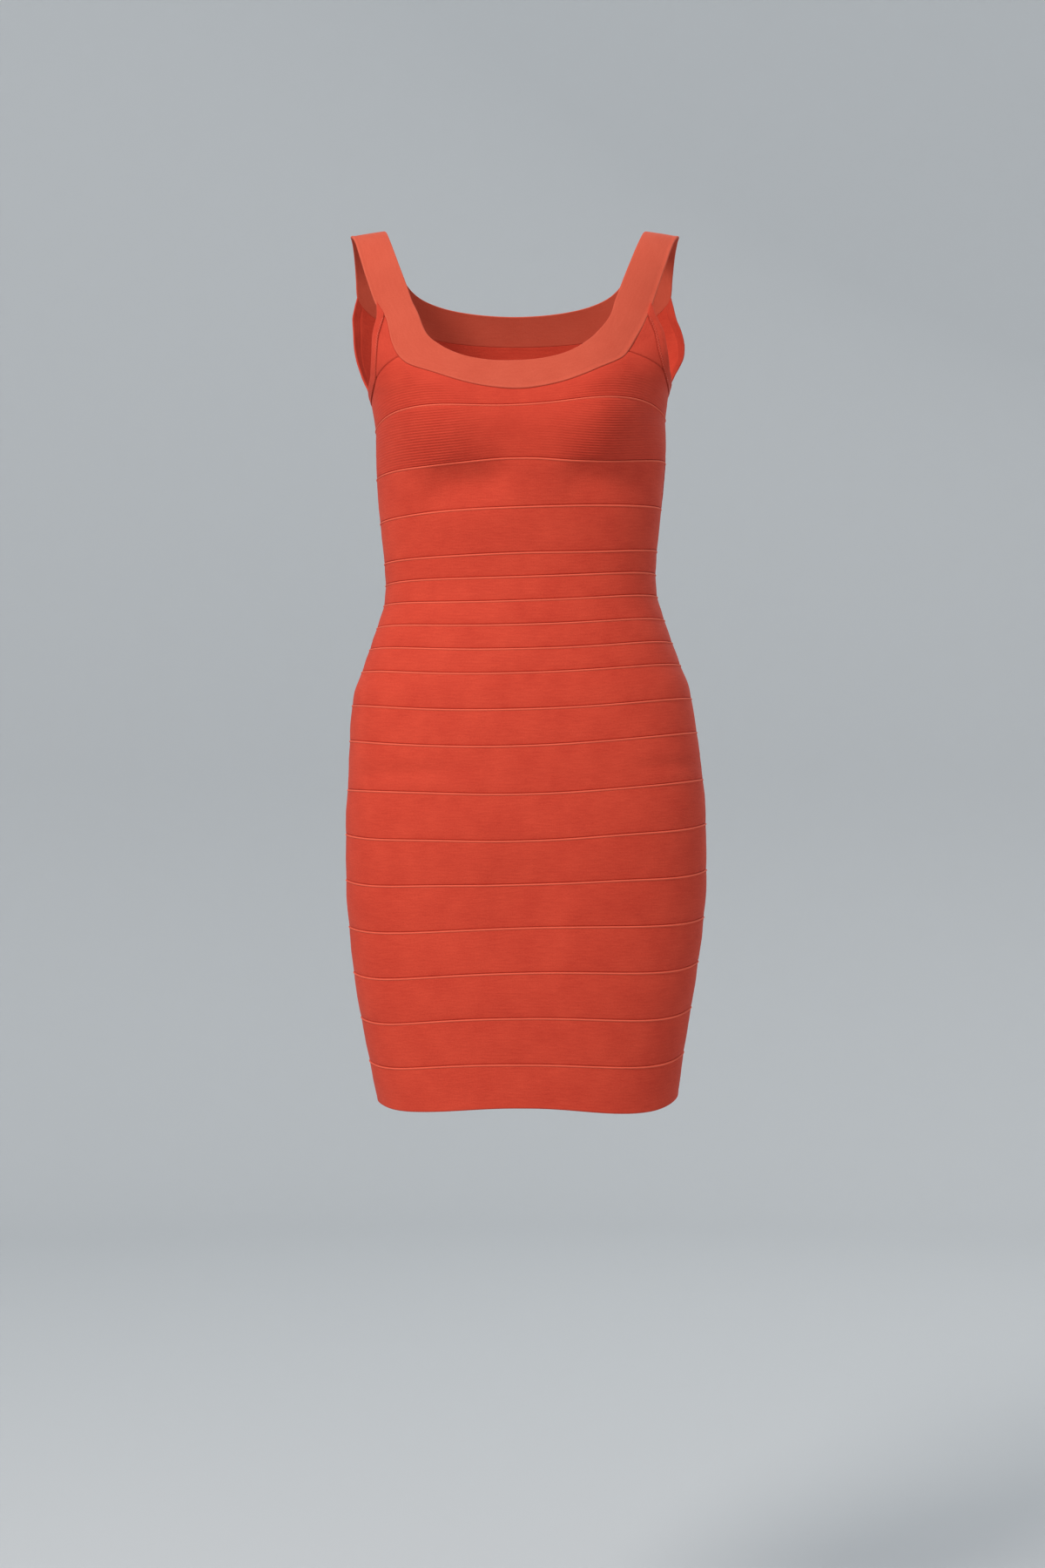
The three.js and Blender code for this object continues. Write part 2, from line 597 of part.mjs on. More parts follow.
// Top edge of the back strip under the yoke seam: binding at both sides, the yoke seam between them.
function backSeamTop() {
  const side = armPanelEdge.slice(ARM_SIDE * SPLITS, ARM_CORNER_BACK * SPLITS + 1);
  side[0] = { turn: SIDE_TURN, z: side[0].z };
  const start = side.at(-1).turn;
  const seam = Array.from({ length: STRIP_COLUMNS - 1 }, (_, k) => {
    const turn = lerp(start, 180 - start, (k + 1) / STRIP_COLUMNS);
    return { turn, z: backYokeHeight(turn) - SEAM_GAP / 2 };
  });
  return [...side, ...seam, ...side.map(flippedBack).reverse()];
}

// Height of the yoke seam across the back, brought to the armhole bindings where it ends.
function backYokeHeight(turn) {
  const end = armPanelEdge[ARM_CORNER_BACK * SPLITS];
  const fromSide = Math.min(turn, 180 - turn);
  const blend = smoothstep(fromSide, end.turn, end.turn + YOKE_BLEND);
  return lerp(end.z, seamHeight(YOKE_SEAM, turn), blend);
}

// The top strip of the back, between the armhole bindings and under the back neckband.
function backYoke(name) {
  const side = armPanelEdge.slice(ARM_CORNER_BACK * SPLITS + 1, -1);
  side.push(between(armPanelEdge.at(-1), side.at(-1), YOKE_TRIM));
  const band = [...backPanelEdge];
  band[0] = between(band[0], band[1], CORNER_TRIM);
  band[band.length - 1] = flippedBack(band[0]);
  const top = [...side, ...band.reverse(), ...side.map(flippedBack).reverse()];
  const columns = top.map(({ turn, z }) => ({
    turn,
    top: z,
    bottom: backYokeHeight(turn) + SEAM_GAP / 2,
  }));
  return strip(name, columns, { ridge: 0, bulge: BULGE, innerBands: 2 });
}

function yokeStrip(name, topEdge, ribbed) {
  const columns = topEdge.map(({ turn, z }) => ({
    turn,
    top: z,
    bottom: seamHeight(SEAMS[0], turn) + SEAM_GAP / 2,
  }));
  return strip(name, columns, { ridge: YOKE_RIDGE, bulge: BULGE, ribbed, innerBands: 2 });
}

const dress = new THREE.Group();
dress.name = "bodycon_dress";
dress.add(
  neckband("front_neckband", FRONT_NECK, -1),
  neckband("back_neckband", BACK_NECK, 1),
  armholeBinding("right_armhole_binding", false),
  armholeBinding("left_armhole_binding", true),
  frontCorner("right_front_corner", false),
  frontCorner("left_front_corner", true),
  yokeStrip("front_strip_01", frontYokeTop(), true),
  backYoke("back_yoke"),
  yokeStrip("back_strip_01", backSeamTop(), false),
);
for (let upper = 0; upper < SEAMS.length - 1; upper += 1) {
  dress.add(seamStrip(-1, upper), seamStrip(1, upper));
}

export default dress;
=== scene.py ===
import math
import re

import bpy
import numpy as np
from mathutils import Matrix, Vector


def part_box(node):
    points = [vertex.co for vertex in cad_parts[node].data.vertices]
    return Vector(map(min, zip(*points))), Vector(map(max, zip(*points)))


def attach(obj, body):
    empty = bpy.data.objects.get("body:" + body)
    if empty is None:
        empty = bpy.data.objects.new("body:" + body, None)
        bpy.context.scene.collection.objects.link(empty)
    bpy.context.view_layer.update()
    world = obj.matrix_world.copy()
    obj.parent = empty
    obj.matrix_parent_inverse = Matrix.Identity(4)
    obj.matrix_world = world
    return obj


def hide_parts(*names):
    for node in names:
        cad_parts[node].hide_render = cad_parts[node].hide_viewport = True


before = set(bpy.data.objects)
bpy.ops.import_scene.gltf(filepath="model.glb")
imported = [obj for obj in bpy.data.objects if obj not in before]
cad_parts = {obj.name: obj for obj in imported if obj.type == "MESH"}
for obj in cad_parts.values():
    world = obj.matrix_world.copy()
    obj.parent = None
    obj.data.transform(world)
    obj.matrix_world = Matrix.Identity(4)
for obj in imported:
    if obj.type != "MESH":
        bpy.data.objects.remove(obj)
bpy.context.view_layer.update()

# A sleeveless bodycon mini dress of knitted bandage strips, hollow as worn.
# Sizes are in millimetres on the dress and become metres when a mesh is made. +Z is up, the front faces -Y.
print("frame:", len(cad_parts), "nodes")

millimetre = 0.001
frontSide, backSide = -1, 1

# The cloth and how its pieces meet.
cloth = {
    "wall": 1.8,            # doubled bandage knit
    "seamOverlap": 0.3,     # how far neighbouring pieces run into each other, so that no light shows
    "edgeRound": 0.85,      # radius of every cut edge, nearly half of the wall
    "stretch": 1.12,        # how much wider the worn cloth is than its cut
    "shoulderRoll": 45,     # height over which the straps roll over the shoulders
    "rollRoundness": 0.75,  # 1 is a quarter circle, 0 a straight slope
    "strapSlope": 5 / 32,   # fall of the strap tops towards the arm
    "strapInner": 123,      # neck side of the strap at its top, from the middle
    "bustApex": 83,         # sideways place and width of the two soft rises in front
    "bustSpread": 42,
    "probe": 0.5,           # half the step over which slopes are taken
}

# The plain face of the cloth on a general figure: height, half width, depth in front of and behind
# the shoulder line, squareness of the section, the bust's rise in front.
figureColumns = ("z", "half", "front", "back", "power", "bust")
figureRows = [
    (-45, 178, 58, 68, 2.5, 0),
    (-75, 173.5, 69, 82, 2.5, 0),
    (-100, 169, 79, 90, 2.5, 0),
    (-115, 164, 85, 93, 2.5, 1),
    (-130, 156, 92, 95, 2.5, 3),
    (-145, 146.3, 98, 97, 2.5, 6),
    (-160, 139.5, 103, 97, 2.4, 10),
    (-190, 135.9, 108, 94, 2.3, 16),
    (-225, 135.8, 104, 88, 2.2, 10.5),
    (-245, 134.3, 99.6, 84.3, 2.2, 5),
    (-265, 132.5, 96, 81, 2.2, 1.5),
    (-300, 128.7, 90, 77, 2.2, 0),
    (-330, 126.8, 87, 76, 2.2, 0),
    (-347, 128.2, 88, 78, 2.2, 0),
    (-370, 135, 91, 84, 2.2, 0),
    (-415, 150.8, 97, 100, 2.2, 0),
    (-433, 157.4, 100, 106, 2.2, 0),
    (-450, 160.3, 102, 110, 2.2, 0),
    (-500, 165.2, 105, 117, 2.25, 0),
    (-560, 169.2, 105, 117, 2.3, 0),
    (-610, 169.3, 102, 110, 2.3, 0),
    (-660, 165.7, 99, 102, 2.3, 0),
    (-710, 159.3, 97, 97, 2.3, 0),
    (-760, 150.5, 94, 94, 2.3, 0),
    (-830, 138.6, 91, 91, 2.3, 0),
]

# The pose: how far the middle sways to +X, and how the seams climb towards +X.
poseColumns = ("z", "sway", "slope")
poseRows = [
    (0, 0, 0),
    (-25, -0.7, 0),
    (-55, -1.1, 0),
    (-72, -1, 0),
    (-90, 2.4, 0),
    (-105, 4.1, 0.008),
    (-120, 5, 0.019),
    (-135, 4.6, 0.03),
    (-150, 4.6, 0.032),
    (-175, 5, 0.036),
    (-225, 5.8, 0.058),
    (-265, 5.5, 0.053),
    (-309, 5.3, 0.047),
    (-352, 5.2, 0.032),
    (-400, 5.6, 0.022),
    (-450, 6.5, 0.021),
    (-485, 8.2, 0.026),
    (-530, 9.8, 0.03),
    (-600, 10.5, 0.028),
    (-650, 10.8, 0.027),
    (-700, 10.3, 0.032),
    (-780, 11, 0.027),
    (-830, 12.5, 0.01),
]
# The neckline is drawn to -X on the front: how far, where and how high, and the depths in front of the
# shoulder line where this starts and is complete.
neckPull = {"shift": -7.5, "z": -112, "reach": 28, "start": 50, "full": 78}

# Seams from the bust seam down to the hem: height at the front middle, rise towards the sides, how far
# the seam hangs between the middle and the sides, how far it drops just before the side seam, and how
# far it rises on the +X half and falls on the other.
seamRows = [
    (-174.8, 6, -2.3, 15, 1),
    (-223.3, -3, 4, 0, -3),
    (-267, -1.5, 0, 0, -1),
    (-308.4, 1, 0.5, 0, -1),
    (-330, 3.5, 0, 2, -0.5),
    (-352, 5.5, 0, 2, 0),
    (-374, 7, 0, 3, 0),
    (-396.3, 8.5, 0, 3, 0),
    (-418.3, 9, 0, 2.5, 0.5),
    (-451.6, 10, 0, 1.5, 0.5),
    (-485, 10, -0.5, 0.5, 0.5),
    (-529, 9, -1, 0.5, -0.5),
    (-571.7, 6, -1.5, -3.5, 0),
    (-611.7, 0.5, -1, -6, 0),
    (-651.3, -5, 0.5, -7, 0),
    (-692.5, -8.5, 0.5, -9.5, -1),
    (-734.1, -10.5, 0.5, -10.5, -2),
    (-776.6, -10, 0.5, -11, -2.5),
    (-817.3, -11, 2, -12, -2),
]
seamBackShare = 0.25        # share of the side rise that a seam gives up across the back
seamBackHang = 0.4          # share of its hang that a seam keeps across the back
seamDropPower = 8           # how suddenly a seam drops towards the side seam
seamLeanPeak = 2.598        # makes x - x^3 reach 1 at its highest
yokeSeam = (-102, -45, 0, 0, 0)  # the back's seam above the bust strip
yokeBlend = 30              # degrees over which it leaves the armhole's height

# Half of the neckband and its strap, from the shoulder seam to the middle: neckline edge, outer edge.
frontNeckRows = [
    (123, 0, 155, -5),
    (120.5, -2.7, 152.5, -7.4),
    (117.2, -10.5, 149.1, -14.4),
    (112.6, -22.5, 145.5, -25),
    (107.3, -37, 141.3, -38.5),
    (99.8, -57, 135, -57.5),
    (94.6, -72, 127.7, -78.5),
    (89.2, -86, 121.8, -88),
    (85, -95, 118.4, -96.5),
    (80.5, -102.5, 115.2, -105.5),
    (74.8, -109.5, 111, -115.5),
    (67.3, -115.5, 106, -124.5),
    (58, -121.5, 97.5, -132.8),
    (43, -127.8, 76, -142),
    (22, -132, 42, -154.5),
    (0, -133, 0, -160.5),
]
backNeckRows = [
    (123, 0, 155, -5),
    (121.5, -2.7, 154.3, -7.5),
    (118.5, -10.5, 153.3, -15),
    (114, -22.5, 152.3, -27),
    (108, -34, 151.5, -41),
    (100, -45, 150.6, -55),
    (90, -53, 146, -63.5),
    (76, -59, 133, -74),
    (58, -63.5, 110, -84.5),
    (32, -67, 60, -94),
    (0, -68.5, 0, -97),
]
# Free edge of the right armhole between the straps: degrees from the side seam, height.
armholeRows = [
    (-45, -88),
    (-40.8, -102),
    (-35.9, -119),
    (-26.8, -136),
    (-14, -147),
    (0, -152),
    (10, -146.5),
    (15.5, -134),
    (19, -116),
    (23.5, -97),
    (28.5, -78),
]
armhole = {
    "frontTip": 6,       # neck row where the binding meets the front strap
    "backTip": 5,
    "frontCorner": 11,   # neck row where the seam above the bust strip starts
    "cornerFront": 4,    # armhole row, counted with the strap's, where that seam ends
    "side": 6,           # armhole row at the side seam
    "cornerBack": 8,     # armhole row where the seam under the back yoke starts
    "bindingWidth": 8,
    "bindingFlap": 1.2,  # how far the ends run over the straps, as a share of the last station's step
    "flapLift": 0.75,    # how far the ends lie above the straps
    "flapFlat": 6,       # length of an end that lies that high, and where it has come down to the cloth
    "flapDown": 14,
    "cornerTrim": 0.3,   # share of a step by which thin tips are cut short
    "yokeTip": 1.6,      # how far the back yoke's tips reach up under the binding's ends
    "yokeStart": 0.3,    # where the yoke starts between the armhole's corner and the next station
    "splits": 2,         # stations for each row of these tables
}

# Soft troughs that the stretched cloth draws: side, height, place, reach to each side, depth, width
# and tilt.
creases = [
    {"side": frontSide, "z": -114, "x": 115, "reach": 12, "depth": 0.9, "width": 11, "tilt": 0.4},
    {"side": frontSide, "z": -111, "x": -118, "reach": 10, "depth": 0.7, "width": 9, "tilt": -0.4},
    {"side": frontSide, "z": -243, "x": -50, "reach": 38, "depth": 7.5, "width": 19, "tilt": 0.04},
    {"side": frontSide, "z": -244, "x": 84, "reach": 44, "depth": 6.5, "width": 20, "tilt": 0.0},
    {"side": frontSide, "z": -622, "x": 0, "reach": 34, "depth": 2.2, "width": 50, "tilt": 0.0},
    {"side": frontSide, "z": -506, "x": -100, "reach": 62, "depth": 1.5, "width": 6.5, "tilt": 0.01},
    {"side": frontSide, "z": -507, "x": 138, "reach": 36, "depth": 1.3, "width": 6.0, "tilt": 0.03},
    {"side": frontSide, "z": -494, "x": -60, "reach": 40, "depth": 0.5, "width": 4.0, "tilt": -0.03},
    {"side": frontSide, "z": -341, "x": -72, "reach": 42, "depth": 0.45, "width": 4.5, "tilt": 0.05},
    {"side": frontSide, "z": -364, "x": 80, "reach": 36, "depth": 0.5, "width": 4.5, "tilt": 0.03},
    {"side": frontSide, "z": -232, "x": -84, "reach": 30, "depth": 0.7, "width": 6.0, "tilt": 0.10},
    {"side": frontSide, "z": -230, "x": 88, "reach": 28, "depth": 0.7, "width": 6.0, "tilt": 0.02},
    {"side": backSide, "z": -338, "x": -22, "reach": 66, "depth": 1.2, "width": 5.5, "tilt": 0.05},
    {"side": backSide, "z": -363, "x": 20, "reach": 72, "depth": 1.5, "width": 6.0, "tilt": 0.02},
    {"side": backSide, "z": -388, "x": -14, "reach": 58, "depth": 0.9, "width": 5.0, "tilt": 0.06},
    {"side": backSide, "z": -300, "x": 34, "reach": 48, "depth": 0.7, "width": 5.0, "tilt": 0.00},
    {"side": backSide, "z": -560, "x": 96, "reach": 44, "depth": 0.8, "width": 6.5, "tilt": 0.04},
    {"side": backSide, "z": -604, "x": -88, "reach": 50, "depth": 0.9, "width": 6.5, "tilt": -0.03},
]


# Tables and the figure's face

def smoothTable(rows, columns):
    # every column as a smooth curve of height that doesn't overshoot its rows
    table = np.array(rows, float)
    heights = table[:, 0]
    steps = np.diff(table[:, 1:], axis=0) / np.diff(heights)[:, None]
    before = np.vstack([steps[:1], steps])
    after = np.vstack([steps, steps[-1:]])
    same = before * after > 0
    slopes = np.where(same, 2 * before * after / np.where(same, before + after, 1), 0)

    def at(z):
        height = np.clip(z, heights[-1], heights[0])
        above = np.clip(np.searchsorted(-heights, -height, side="left") - 1, 0, len(heights) - 2)
        span = heights[above + 1] - heights[above]
        t = (height - heights[above]) / span
        found = {}
        for i, name in enumerate(columns[1:]):
            upper, lower = table[above, i + 1], table[above + 1, i + 1]
            found[name] = (
                (1 + 2 * t) * (1 - t) ** 2 * upper
                + t * (1 - t) ** 2 * span * slopes[above, i]
                + t * t * (3 - 2 * t) * lower
                + t * t * (t - 1) * span * slopes[above + 1, i]
            )
        return found

    return at


figureAt = smoothTable(figureRows, figureColumns)
poseAt = smoothTable(poseRows, poseColumns)


def smoothStep(x, low, high):
    # rises softly from 0 at low to 1 at high
    t = np.clip((x - low) / (high - low), 0, 1)
    return t * t * (3 - 2 * t)


def unit(vectors):
    return vectors / np.linalg.norm(vectors, axis=-1, keepdims=True)


def facePoint(turn, z):
    # turn is in degrees: 0 at the right side seam, -90 at the front middle, 90 at the back middle
    row = figureAt(z)
    cosine, sine = np.cos(np.radians(turn)), np.sin(np.radians(turn))
    x = np.sign(cosine) * row["half"] * np.abs(cosine) ** (2 / row["power"])
    top = -cloth["strapSlope"] * np.maximum(0, np.abs(x) - cloth["strapInner"])
    t = np.clip((top - z) / (cloth["shoulderRoll"] + top), 0, 1)
    share = t + cloth["rollRoundness"] * (np.sqrt(t * (2 - t)) - t)
    reach = np.abs(sine) ** (2 / row["power"]) * share
    rise = row["bust"] * np.exp(-(((np.abs(x) - cloth["bustApex"]) / cloth["bustSpread"]) ** 2))
    y = np.where(sine < 0, -reach * (row["front"] + rise), reach * row["back"])
    return np.stack([x, y, z], axis=-1)


def turnAt(x, z, side):
    # the degrees at which the face of the front or the back has this x
    row = figureAt(z)
    share = np.minimum(1, np.abs(x) / row["half"]) ** (row["power"] / 2)
    return side * np.degrees(np.arccos(np.sign(x) * share))


def faceSteps(turn, z):
    # how far the face goes round for a degree, and down for a millimetre
    probe = cloth["probe"]
    around = facePoint(turn + probe, z) - facePoint(turn - probe, z)
    down = facePoint(turn, z + probe) - facePoint(turn, z - probe)
    return around, down


def posed(points):
    # the worn pose: the middle sways, the seams climb and the neckline is drawn aside
    x, y, z = points[..., 0], points[..., 1], points[..., 2]
    row = poseAt(z)
    nearNeck = np.exp(-(((z - neckPull["z"]) / neckPull["reach"]) ** 2))
    pull = nearNeck * smoothStep(-y, neckPull["start"], neckPull["full"])
    return np.stack([x + row["sway"] + neckPull["shift"] * pull, y, z + row["slope"] * x], axis=-1)


def creaseAt(points, side):
    # how far the cloth sinks at each point of the front or the back
    sunk = np.zeros(points.shape[:-1])
    for crease in creases:
        if crease["side"] == side:
            away = points[..., 0] - crease["x"]
            up = points[..., 2] - crease["z"] - crease["tilt"] * away
            sunk += crease["depth"] * np.exp(-((up / crease["width"]) ** 2) - (away / crease["reach"]) ** 4)
    return sunk


def clothGrid(turn, z, side):
    # points on the worn cloth's plain outer face, and the way out from it
    face = facePoint(turn, z)
    around, down = faceSteps(turn, z)
    normal = unit(np.cross(around, down))
    start = face - normal * creaseAt(face, side)[..., None]
    points = posed(start)
    return points, unit(posed(start + normal) - points)


# Paths on the cloth: rows of degrees and heights

def splitRows(rows, splits):
    # stations added by a smooth curve through the rows
    rows = np.array(rows, float)
    padded = np.vstack([rows[:1], rows, rows[-1:]])
    made = []
    for i in range(len(rows) - 1):
        a, b, c, d = padded[i:i + 4]
        for k in range(splits):
            t = k / splits
            made.append(0.5 * (2 * b + (c - a) * t + (2 * a - 5 * b + 4 * c - d) * t ** 2
                               + (3 * b - a - 3 * c + d) * t ** 3))
    return np.array([*made, rows[-1]])


def shiftedPath(path, distance):
    # a path moved sideways over the cloth, to the right of its direction
    before = path[np.maximum(np.arange(len(path)) - 1, 0)]
    after = path[np.minimum(np.arange(len(path)) + 1, len(path) - 1)]
    around, down = faceSteps(path[:, 0], path[:, 1])
    aroundLength, downLength = np.linalg.norm(around, axis=1), np.linalg.norm(down, axis=1)
    across = (after[:, 0] - before[:, 0]) * aroundLength
    along = (after[:, 1] - before[:, 1]) * downLength
    scale = distance / np.hypot(across, along)
    turns = path[:, 0] + along * scale / aroundLength
    heights = path[:, 1] - across * scale / downLength
    return np.stack([turns, heights], axis=1)


def flipped(path, side):
    # the path's mirror image on the other half of the front or the back
    return np.stack([180 * side - path[:, 0], path[:, 1]], axis=1)


def neckStations(half):
    # the neckband from shoulder to shoulder, from the rows of its half
    half = np.array(half, float)
    return splitRows(np.vstack([half * (-1, 1, -1, 1), half[:-1][::-1]]), armhole["splits"])


def neckEdge(half, tip, side):
    # the neckband's outer edge between the two bindings
    stations = neckStations(half)
    first = (tip + 1) * armhole["splits"]
    outX, outZ = stations[first:len(stations) - first, 2:].T
    return np.stack([turnAt(outX, outZ, side), outZ], axis=1)


def strapSpot(half, index, side):
    # a row's place on the outer edge of the strap
    outX, outZ = half[index][2:]
    return np.array([float(turnAt(outX, outZ, side)), outZ])


def armholePath():
    # the binding's free edge, from the front strap to the back one
    start = strapSpot(frontNeckRows, armhole["frontTip"], frontSide)
    end = strapSpot(backNeckRows, armhole["backTip"], backSide)
    return splitRows([start, *armholeRows, end], armhole["splits"])


def armholeInset(distance):
    # a line that runs this far inside the free edge and ends on the straps
    path = armholePath()
    inset = shiftedPath(path, distance)
    ends = [
        (0, 1, strapSpot(frontNeckRows, armhole["frontTip"] + 1, frontSide)),
        (len(path) - 1, -1, strapSpot(backNeckRows, armhole["backTip"] + 1, backSide)),
    ]
    for index, step, goal in ends:
        inset[index] = path[index] + (goal - path[index]) * distance / armhole["bindingWidth"]
        inset[index + step] = (inset[index] + inset[index + 2 * step]) / 2
    return inset


def seamHeight(seam, turn):
    # the height of a seam all round, from its row
    height, side, hang, drop, lean = seam
    x = np.cos(np.radians(turn))
    wave = hang * np.sin(np.pi * x) ** 2
    tilt = lean * seamLeanPeak * (x - x ** 3)
    front = side * x * x - wave - drop * x ** seamDropPower + tilt
    back = (side - drop) * (1 - seamBackShare * (1 - x * x)) - seamBackHang * wave
    return height + np.where(np.sin(np.radians(turn)) < 0, front, back)


gap = -cloth["seamOverlap"]  # below nothing, since the pieces overlap
neckPanelEdge = shiftedPath(neckEdge(frontNeckRows, armhole["frontTip"], frontSide), gap)
backPanelEdge = shiftedPath(neckEdge(backNeckRows, armhole["backTip"], backSide), -gap)
armPanelEdge = armholeInset(armhole["bindingWidth"] + gap)
cornerStations = (armhole["frontCorner"] - armhole["frontTip"] - 1) * armhole["splits"]


def backYokeHeight(turn):
    # the seam under the back yoke, which starts at each armhole's corner
    endTurn, endHeight = armPanelEdge[armhole["cornerBack"] * armhole["splits"]]
    fromSide = np.minimum(turn, 180 - turn)
    blend = smoothStep(fromSide, endTurn, endTurn + yokeBlend)
    return endHeight + (seamHeight(yokeSeam, turn) - endHeight) * blend


# Walls: an outer face with its distances from each edge, a plain inner face and the rims between

meshRows = {
    "edge": (0, 0.12, 0.3, 0.55, 0.85, 1.3, 2.0),   # rows near a plain edge, as distances from it
    "roll": (0, 0.1, 0.22, 0.4, 0.6, 0.8, 1.0, 1.25, 1.5, 1.7, 1.95, 2.3, 3.2),  # and near a rolled one
    "clear": 2,           # least room between the rows of the two edges
    "row": 4.5,           # spacing of the rows between them, on strips, bindings and neckbands
    "bandRow": 1.5,
    "neckRow": 3.0,
    "rowsInRib": 8,
    "column": 2.9,        # spacing of the columns along a strip
    "yokeColumn": 2.4,    # along the pieces with a curved top
    "backColumn": 2.6,    # along the first back strip
    "bandSplits": 5,      # columns for each station of a binding, corner or neckband
    "pathSplits": 6,      # points for each station of a curved top
    "sideSamples": 721,   # points along a seam from which its columns are spread
    "yokeSamples": 61,    # points along the seam under the back yoke
}


def spacedRows(height, low, high, step):
    # distances from the lower edge for every column, close together near both edges
    height = np.asarray(height, float)
    scale = np.minimum(1, height / (low[-1] + high[-1] + meshRows["clear"]))[:, None]
    bottom = np.array(low)[None, :] * scale
    top = height[:, None] - np.array(high[::-1])[None, :] * scale
    count = max(1, math.ceil((height.max() - low[-1] - high[-1]) / step))
    shares = np.arange(1, count)[None, :] / count
    middle = bottom[:, -1:] + (top[:, :1] - bottom[:, -1:]) * shares
    return np.hstack([bottom, middle, top])


def lengthsAlong(points):
    # the length from the first point to each of them
    return np.concatenate([[0], np.cumsum(np.linalg.norm(np.diff(points, axis=0), axis=1))])


def spreadTurns(turns, heights, step=None):
    # columns spread evenly along a path, with a few close to both of its ends
    points = facePoint(turns, heights)
    lengths = lengthsAlong(points)
    total = lengths[-1]
    ends = np.array(meshRows["edge"])
    count = math.ceil((total - 2 * ends[-1]) / (step or meshRows["column"]))
    inside = np.linspace(ends[-1], total - ends[-1], count + 1)[1:-1]
    places = np.concatenate([ends, inside, total - ends[::-1]])
    return np.interp(places, lengths, turns)


def wallObject(name, points, facing, rise, drop):
    # points and facing are grids of columns and rows, in millimetres
    columns, rows = points.shape[:2]
    middle = points[:, rows // 2]
    along = lengthsAlong(middle)
    ends = np.minimum(along, along[-1] - along)[:, None] * np.ones(rows)
    near = len(meshRows["edge"])
    # the plain inner face keeps the rows near its edges and a few between
    innerStep = max(1, (rows - 2 * near) // 3)
    inside = sorted({*range(near), *range(near, rows - near, innerStep), *range(rows - near, rows)})
    innerPoints = points[:, inside] - facing[:, inside] * cloth["wall"]

    def joined(*grids):
        return np.concatenate([grid.reshape(-1, *grid.shape[2:]) for grid in grids])

    vertices = joined(points, innerPoints) * millimetre
    outerIndex = np.arange(columns * rows).reshape(columns, rows)
    innerIndex = columns * rows + np.arange(columns * len(inside)).reshape(columns, len(inside))

    def quads(index):
        around = [index[:-1, :-1], index[1:, :-1], index[1:, 1:], index[:-1, 1:]]
        return np.stack(around, axis=-1).reshape(-1, 4)

    def rim(outer, inner):
        return np.stack([outer[:-1], inner[:-1], inner[1:], outer[1:]], axis=-1)

    faces = [
        *quads(outerIndex).tolist(),
        *quads(innerIndex)[:, ::-1].tolist(),
        *rim(outerIndex[:, 0], innerIndex[:, 0]).tolist(),
        *rim(outerIndex[:, -1], innerIndex[:, -1])[:, ::-1].tolist(),
    ]
    # at both ends a rim has fewer rows inside than outside
    for i, (a, b) in enumerate(zip(inside[:-1], inside[1:])):
        startRim, endRim = innerIndex[0, i:i + 2].tolist(), innerIndex[-1, i:i + 2].tolist()
        faces.append([*outerIndex[0, a:b + 1].tolist(), *startRim[::-1]])
        faces.append([*outerIndex[-1, a:b + 1][::-1].tolist(), *endRim])
    first = points[1, rows // 2] - points[0, rows // 2]
    up = points[0, rows // 2 + 1] - points[0, rows // 2]
    if np.dot(np.cross(first, up), facing[0, rows // 2]) < 0:
        faces = [face[::-1] for face in faces]

    mesh = bpy.data.meshes.new(name)
    mesh.from_pydata(vertices.tolist(), [], faces)
    distances = {"rise": rise, "drop": drop, "ends": ends, "outer": np.ones_like(rise)}
    for key, grid in distances.items():
        inner = grid[:, inside] if key != "outer" else np.zeros((columns, len(inside)))
        scale = 1 if key == "outer" else millimetre
        layer = mesh.attributes.new(key, "FLOAT", "POINT")
        layer.data.foreach_set("value", joined(grid, inner) * scale)
    layer = mesh.attributes.new("facing", "FLOAT_VECTOR", "POINT")
    layer.data.foreach_set("vector", joined(facing, facing[:, inside]).ravel())
    # the UV map holds metres along the piece and metres up it, for the knit
    uPlace = along[:, None] * np.ones(rows)
    spots = np.stack([joined(uPlace, uPlace[:, inside]), joined(rise, rise[:, inside])], axis=-1) * millimetre
    corners = np.empty(len(mesh.loops), np.int32)
    mesh.loops.foreach_get("vertex_index", corners)
    uv = mesh.uv_layers.new(name="knit")
    uv.data.foreach_set("uv", spots[corners].ravel())
    made = bpy.data.objects.new(name, mesh)
    bpy.context.scene.collection.objects.link(made)
    return made


# Nodes

mathNode = "ShaderNodeMath"


def addNode(tree, kind, *inputs, **settings):
    # adds a node with its settings, and fills or links its inputs, which come in order or in a dictionary;
    # a node among them stands for its first output
    node = tree.nodes.new(kind)
    for key, value in settings.items():
        setattr(node, key, value)
    given = inputs[0] if inputs and isinstance(inputs[0], dict) else dict(enumerate(inputs))
    for key, value in given.items():
        if isinstance(value, bpy.types.Node):
            value = value.outputs[0]
        if isinstance(value, bpy.types.NodeSocket):
            tree.links.new(value, node.inputs[key])
        else:
            node.inputs[key].default_value = value
    return node


def hexColour(text):
    # sRGB hex to the linear colour that shaders take
    parts = [int(text[i:i + 2], 16) / 255 for i in (1, 3, 5)]
    return (*[c / 12.92 if c <= 0.04045 else ((c + 0.055) / 1.055) ** 2.4 for c in parts], 1)


def groupInputs(tree, sockets):
    # gives a geometry tree its named inputs and returns the sockets that carry them
    tree.interface.new_socket("Geometry", in_out="INPUT", socket_type="NodeSocketGeometry")
    for name, kind, value in sockets:
        socket = tree.interface.new_socket(name, in_out="INPUT", socket_type=kind)
        if value is not None:
            socket.default_value = value
    tree.interface.new_socket("Geometry", in_out="OUTPUT", socket_type="NodeSocketGeometry")
    return tree.nodes.new("NodeGroupInput").outputs


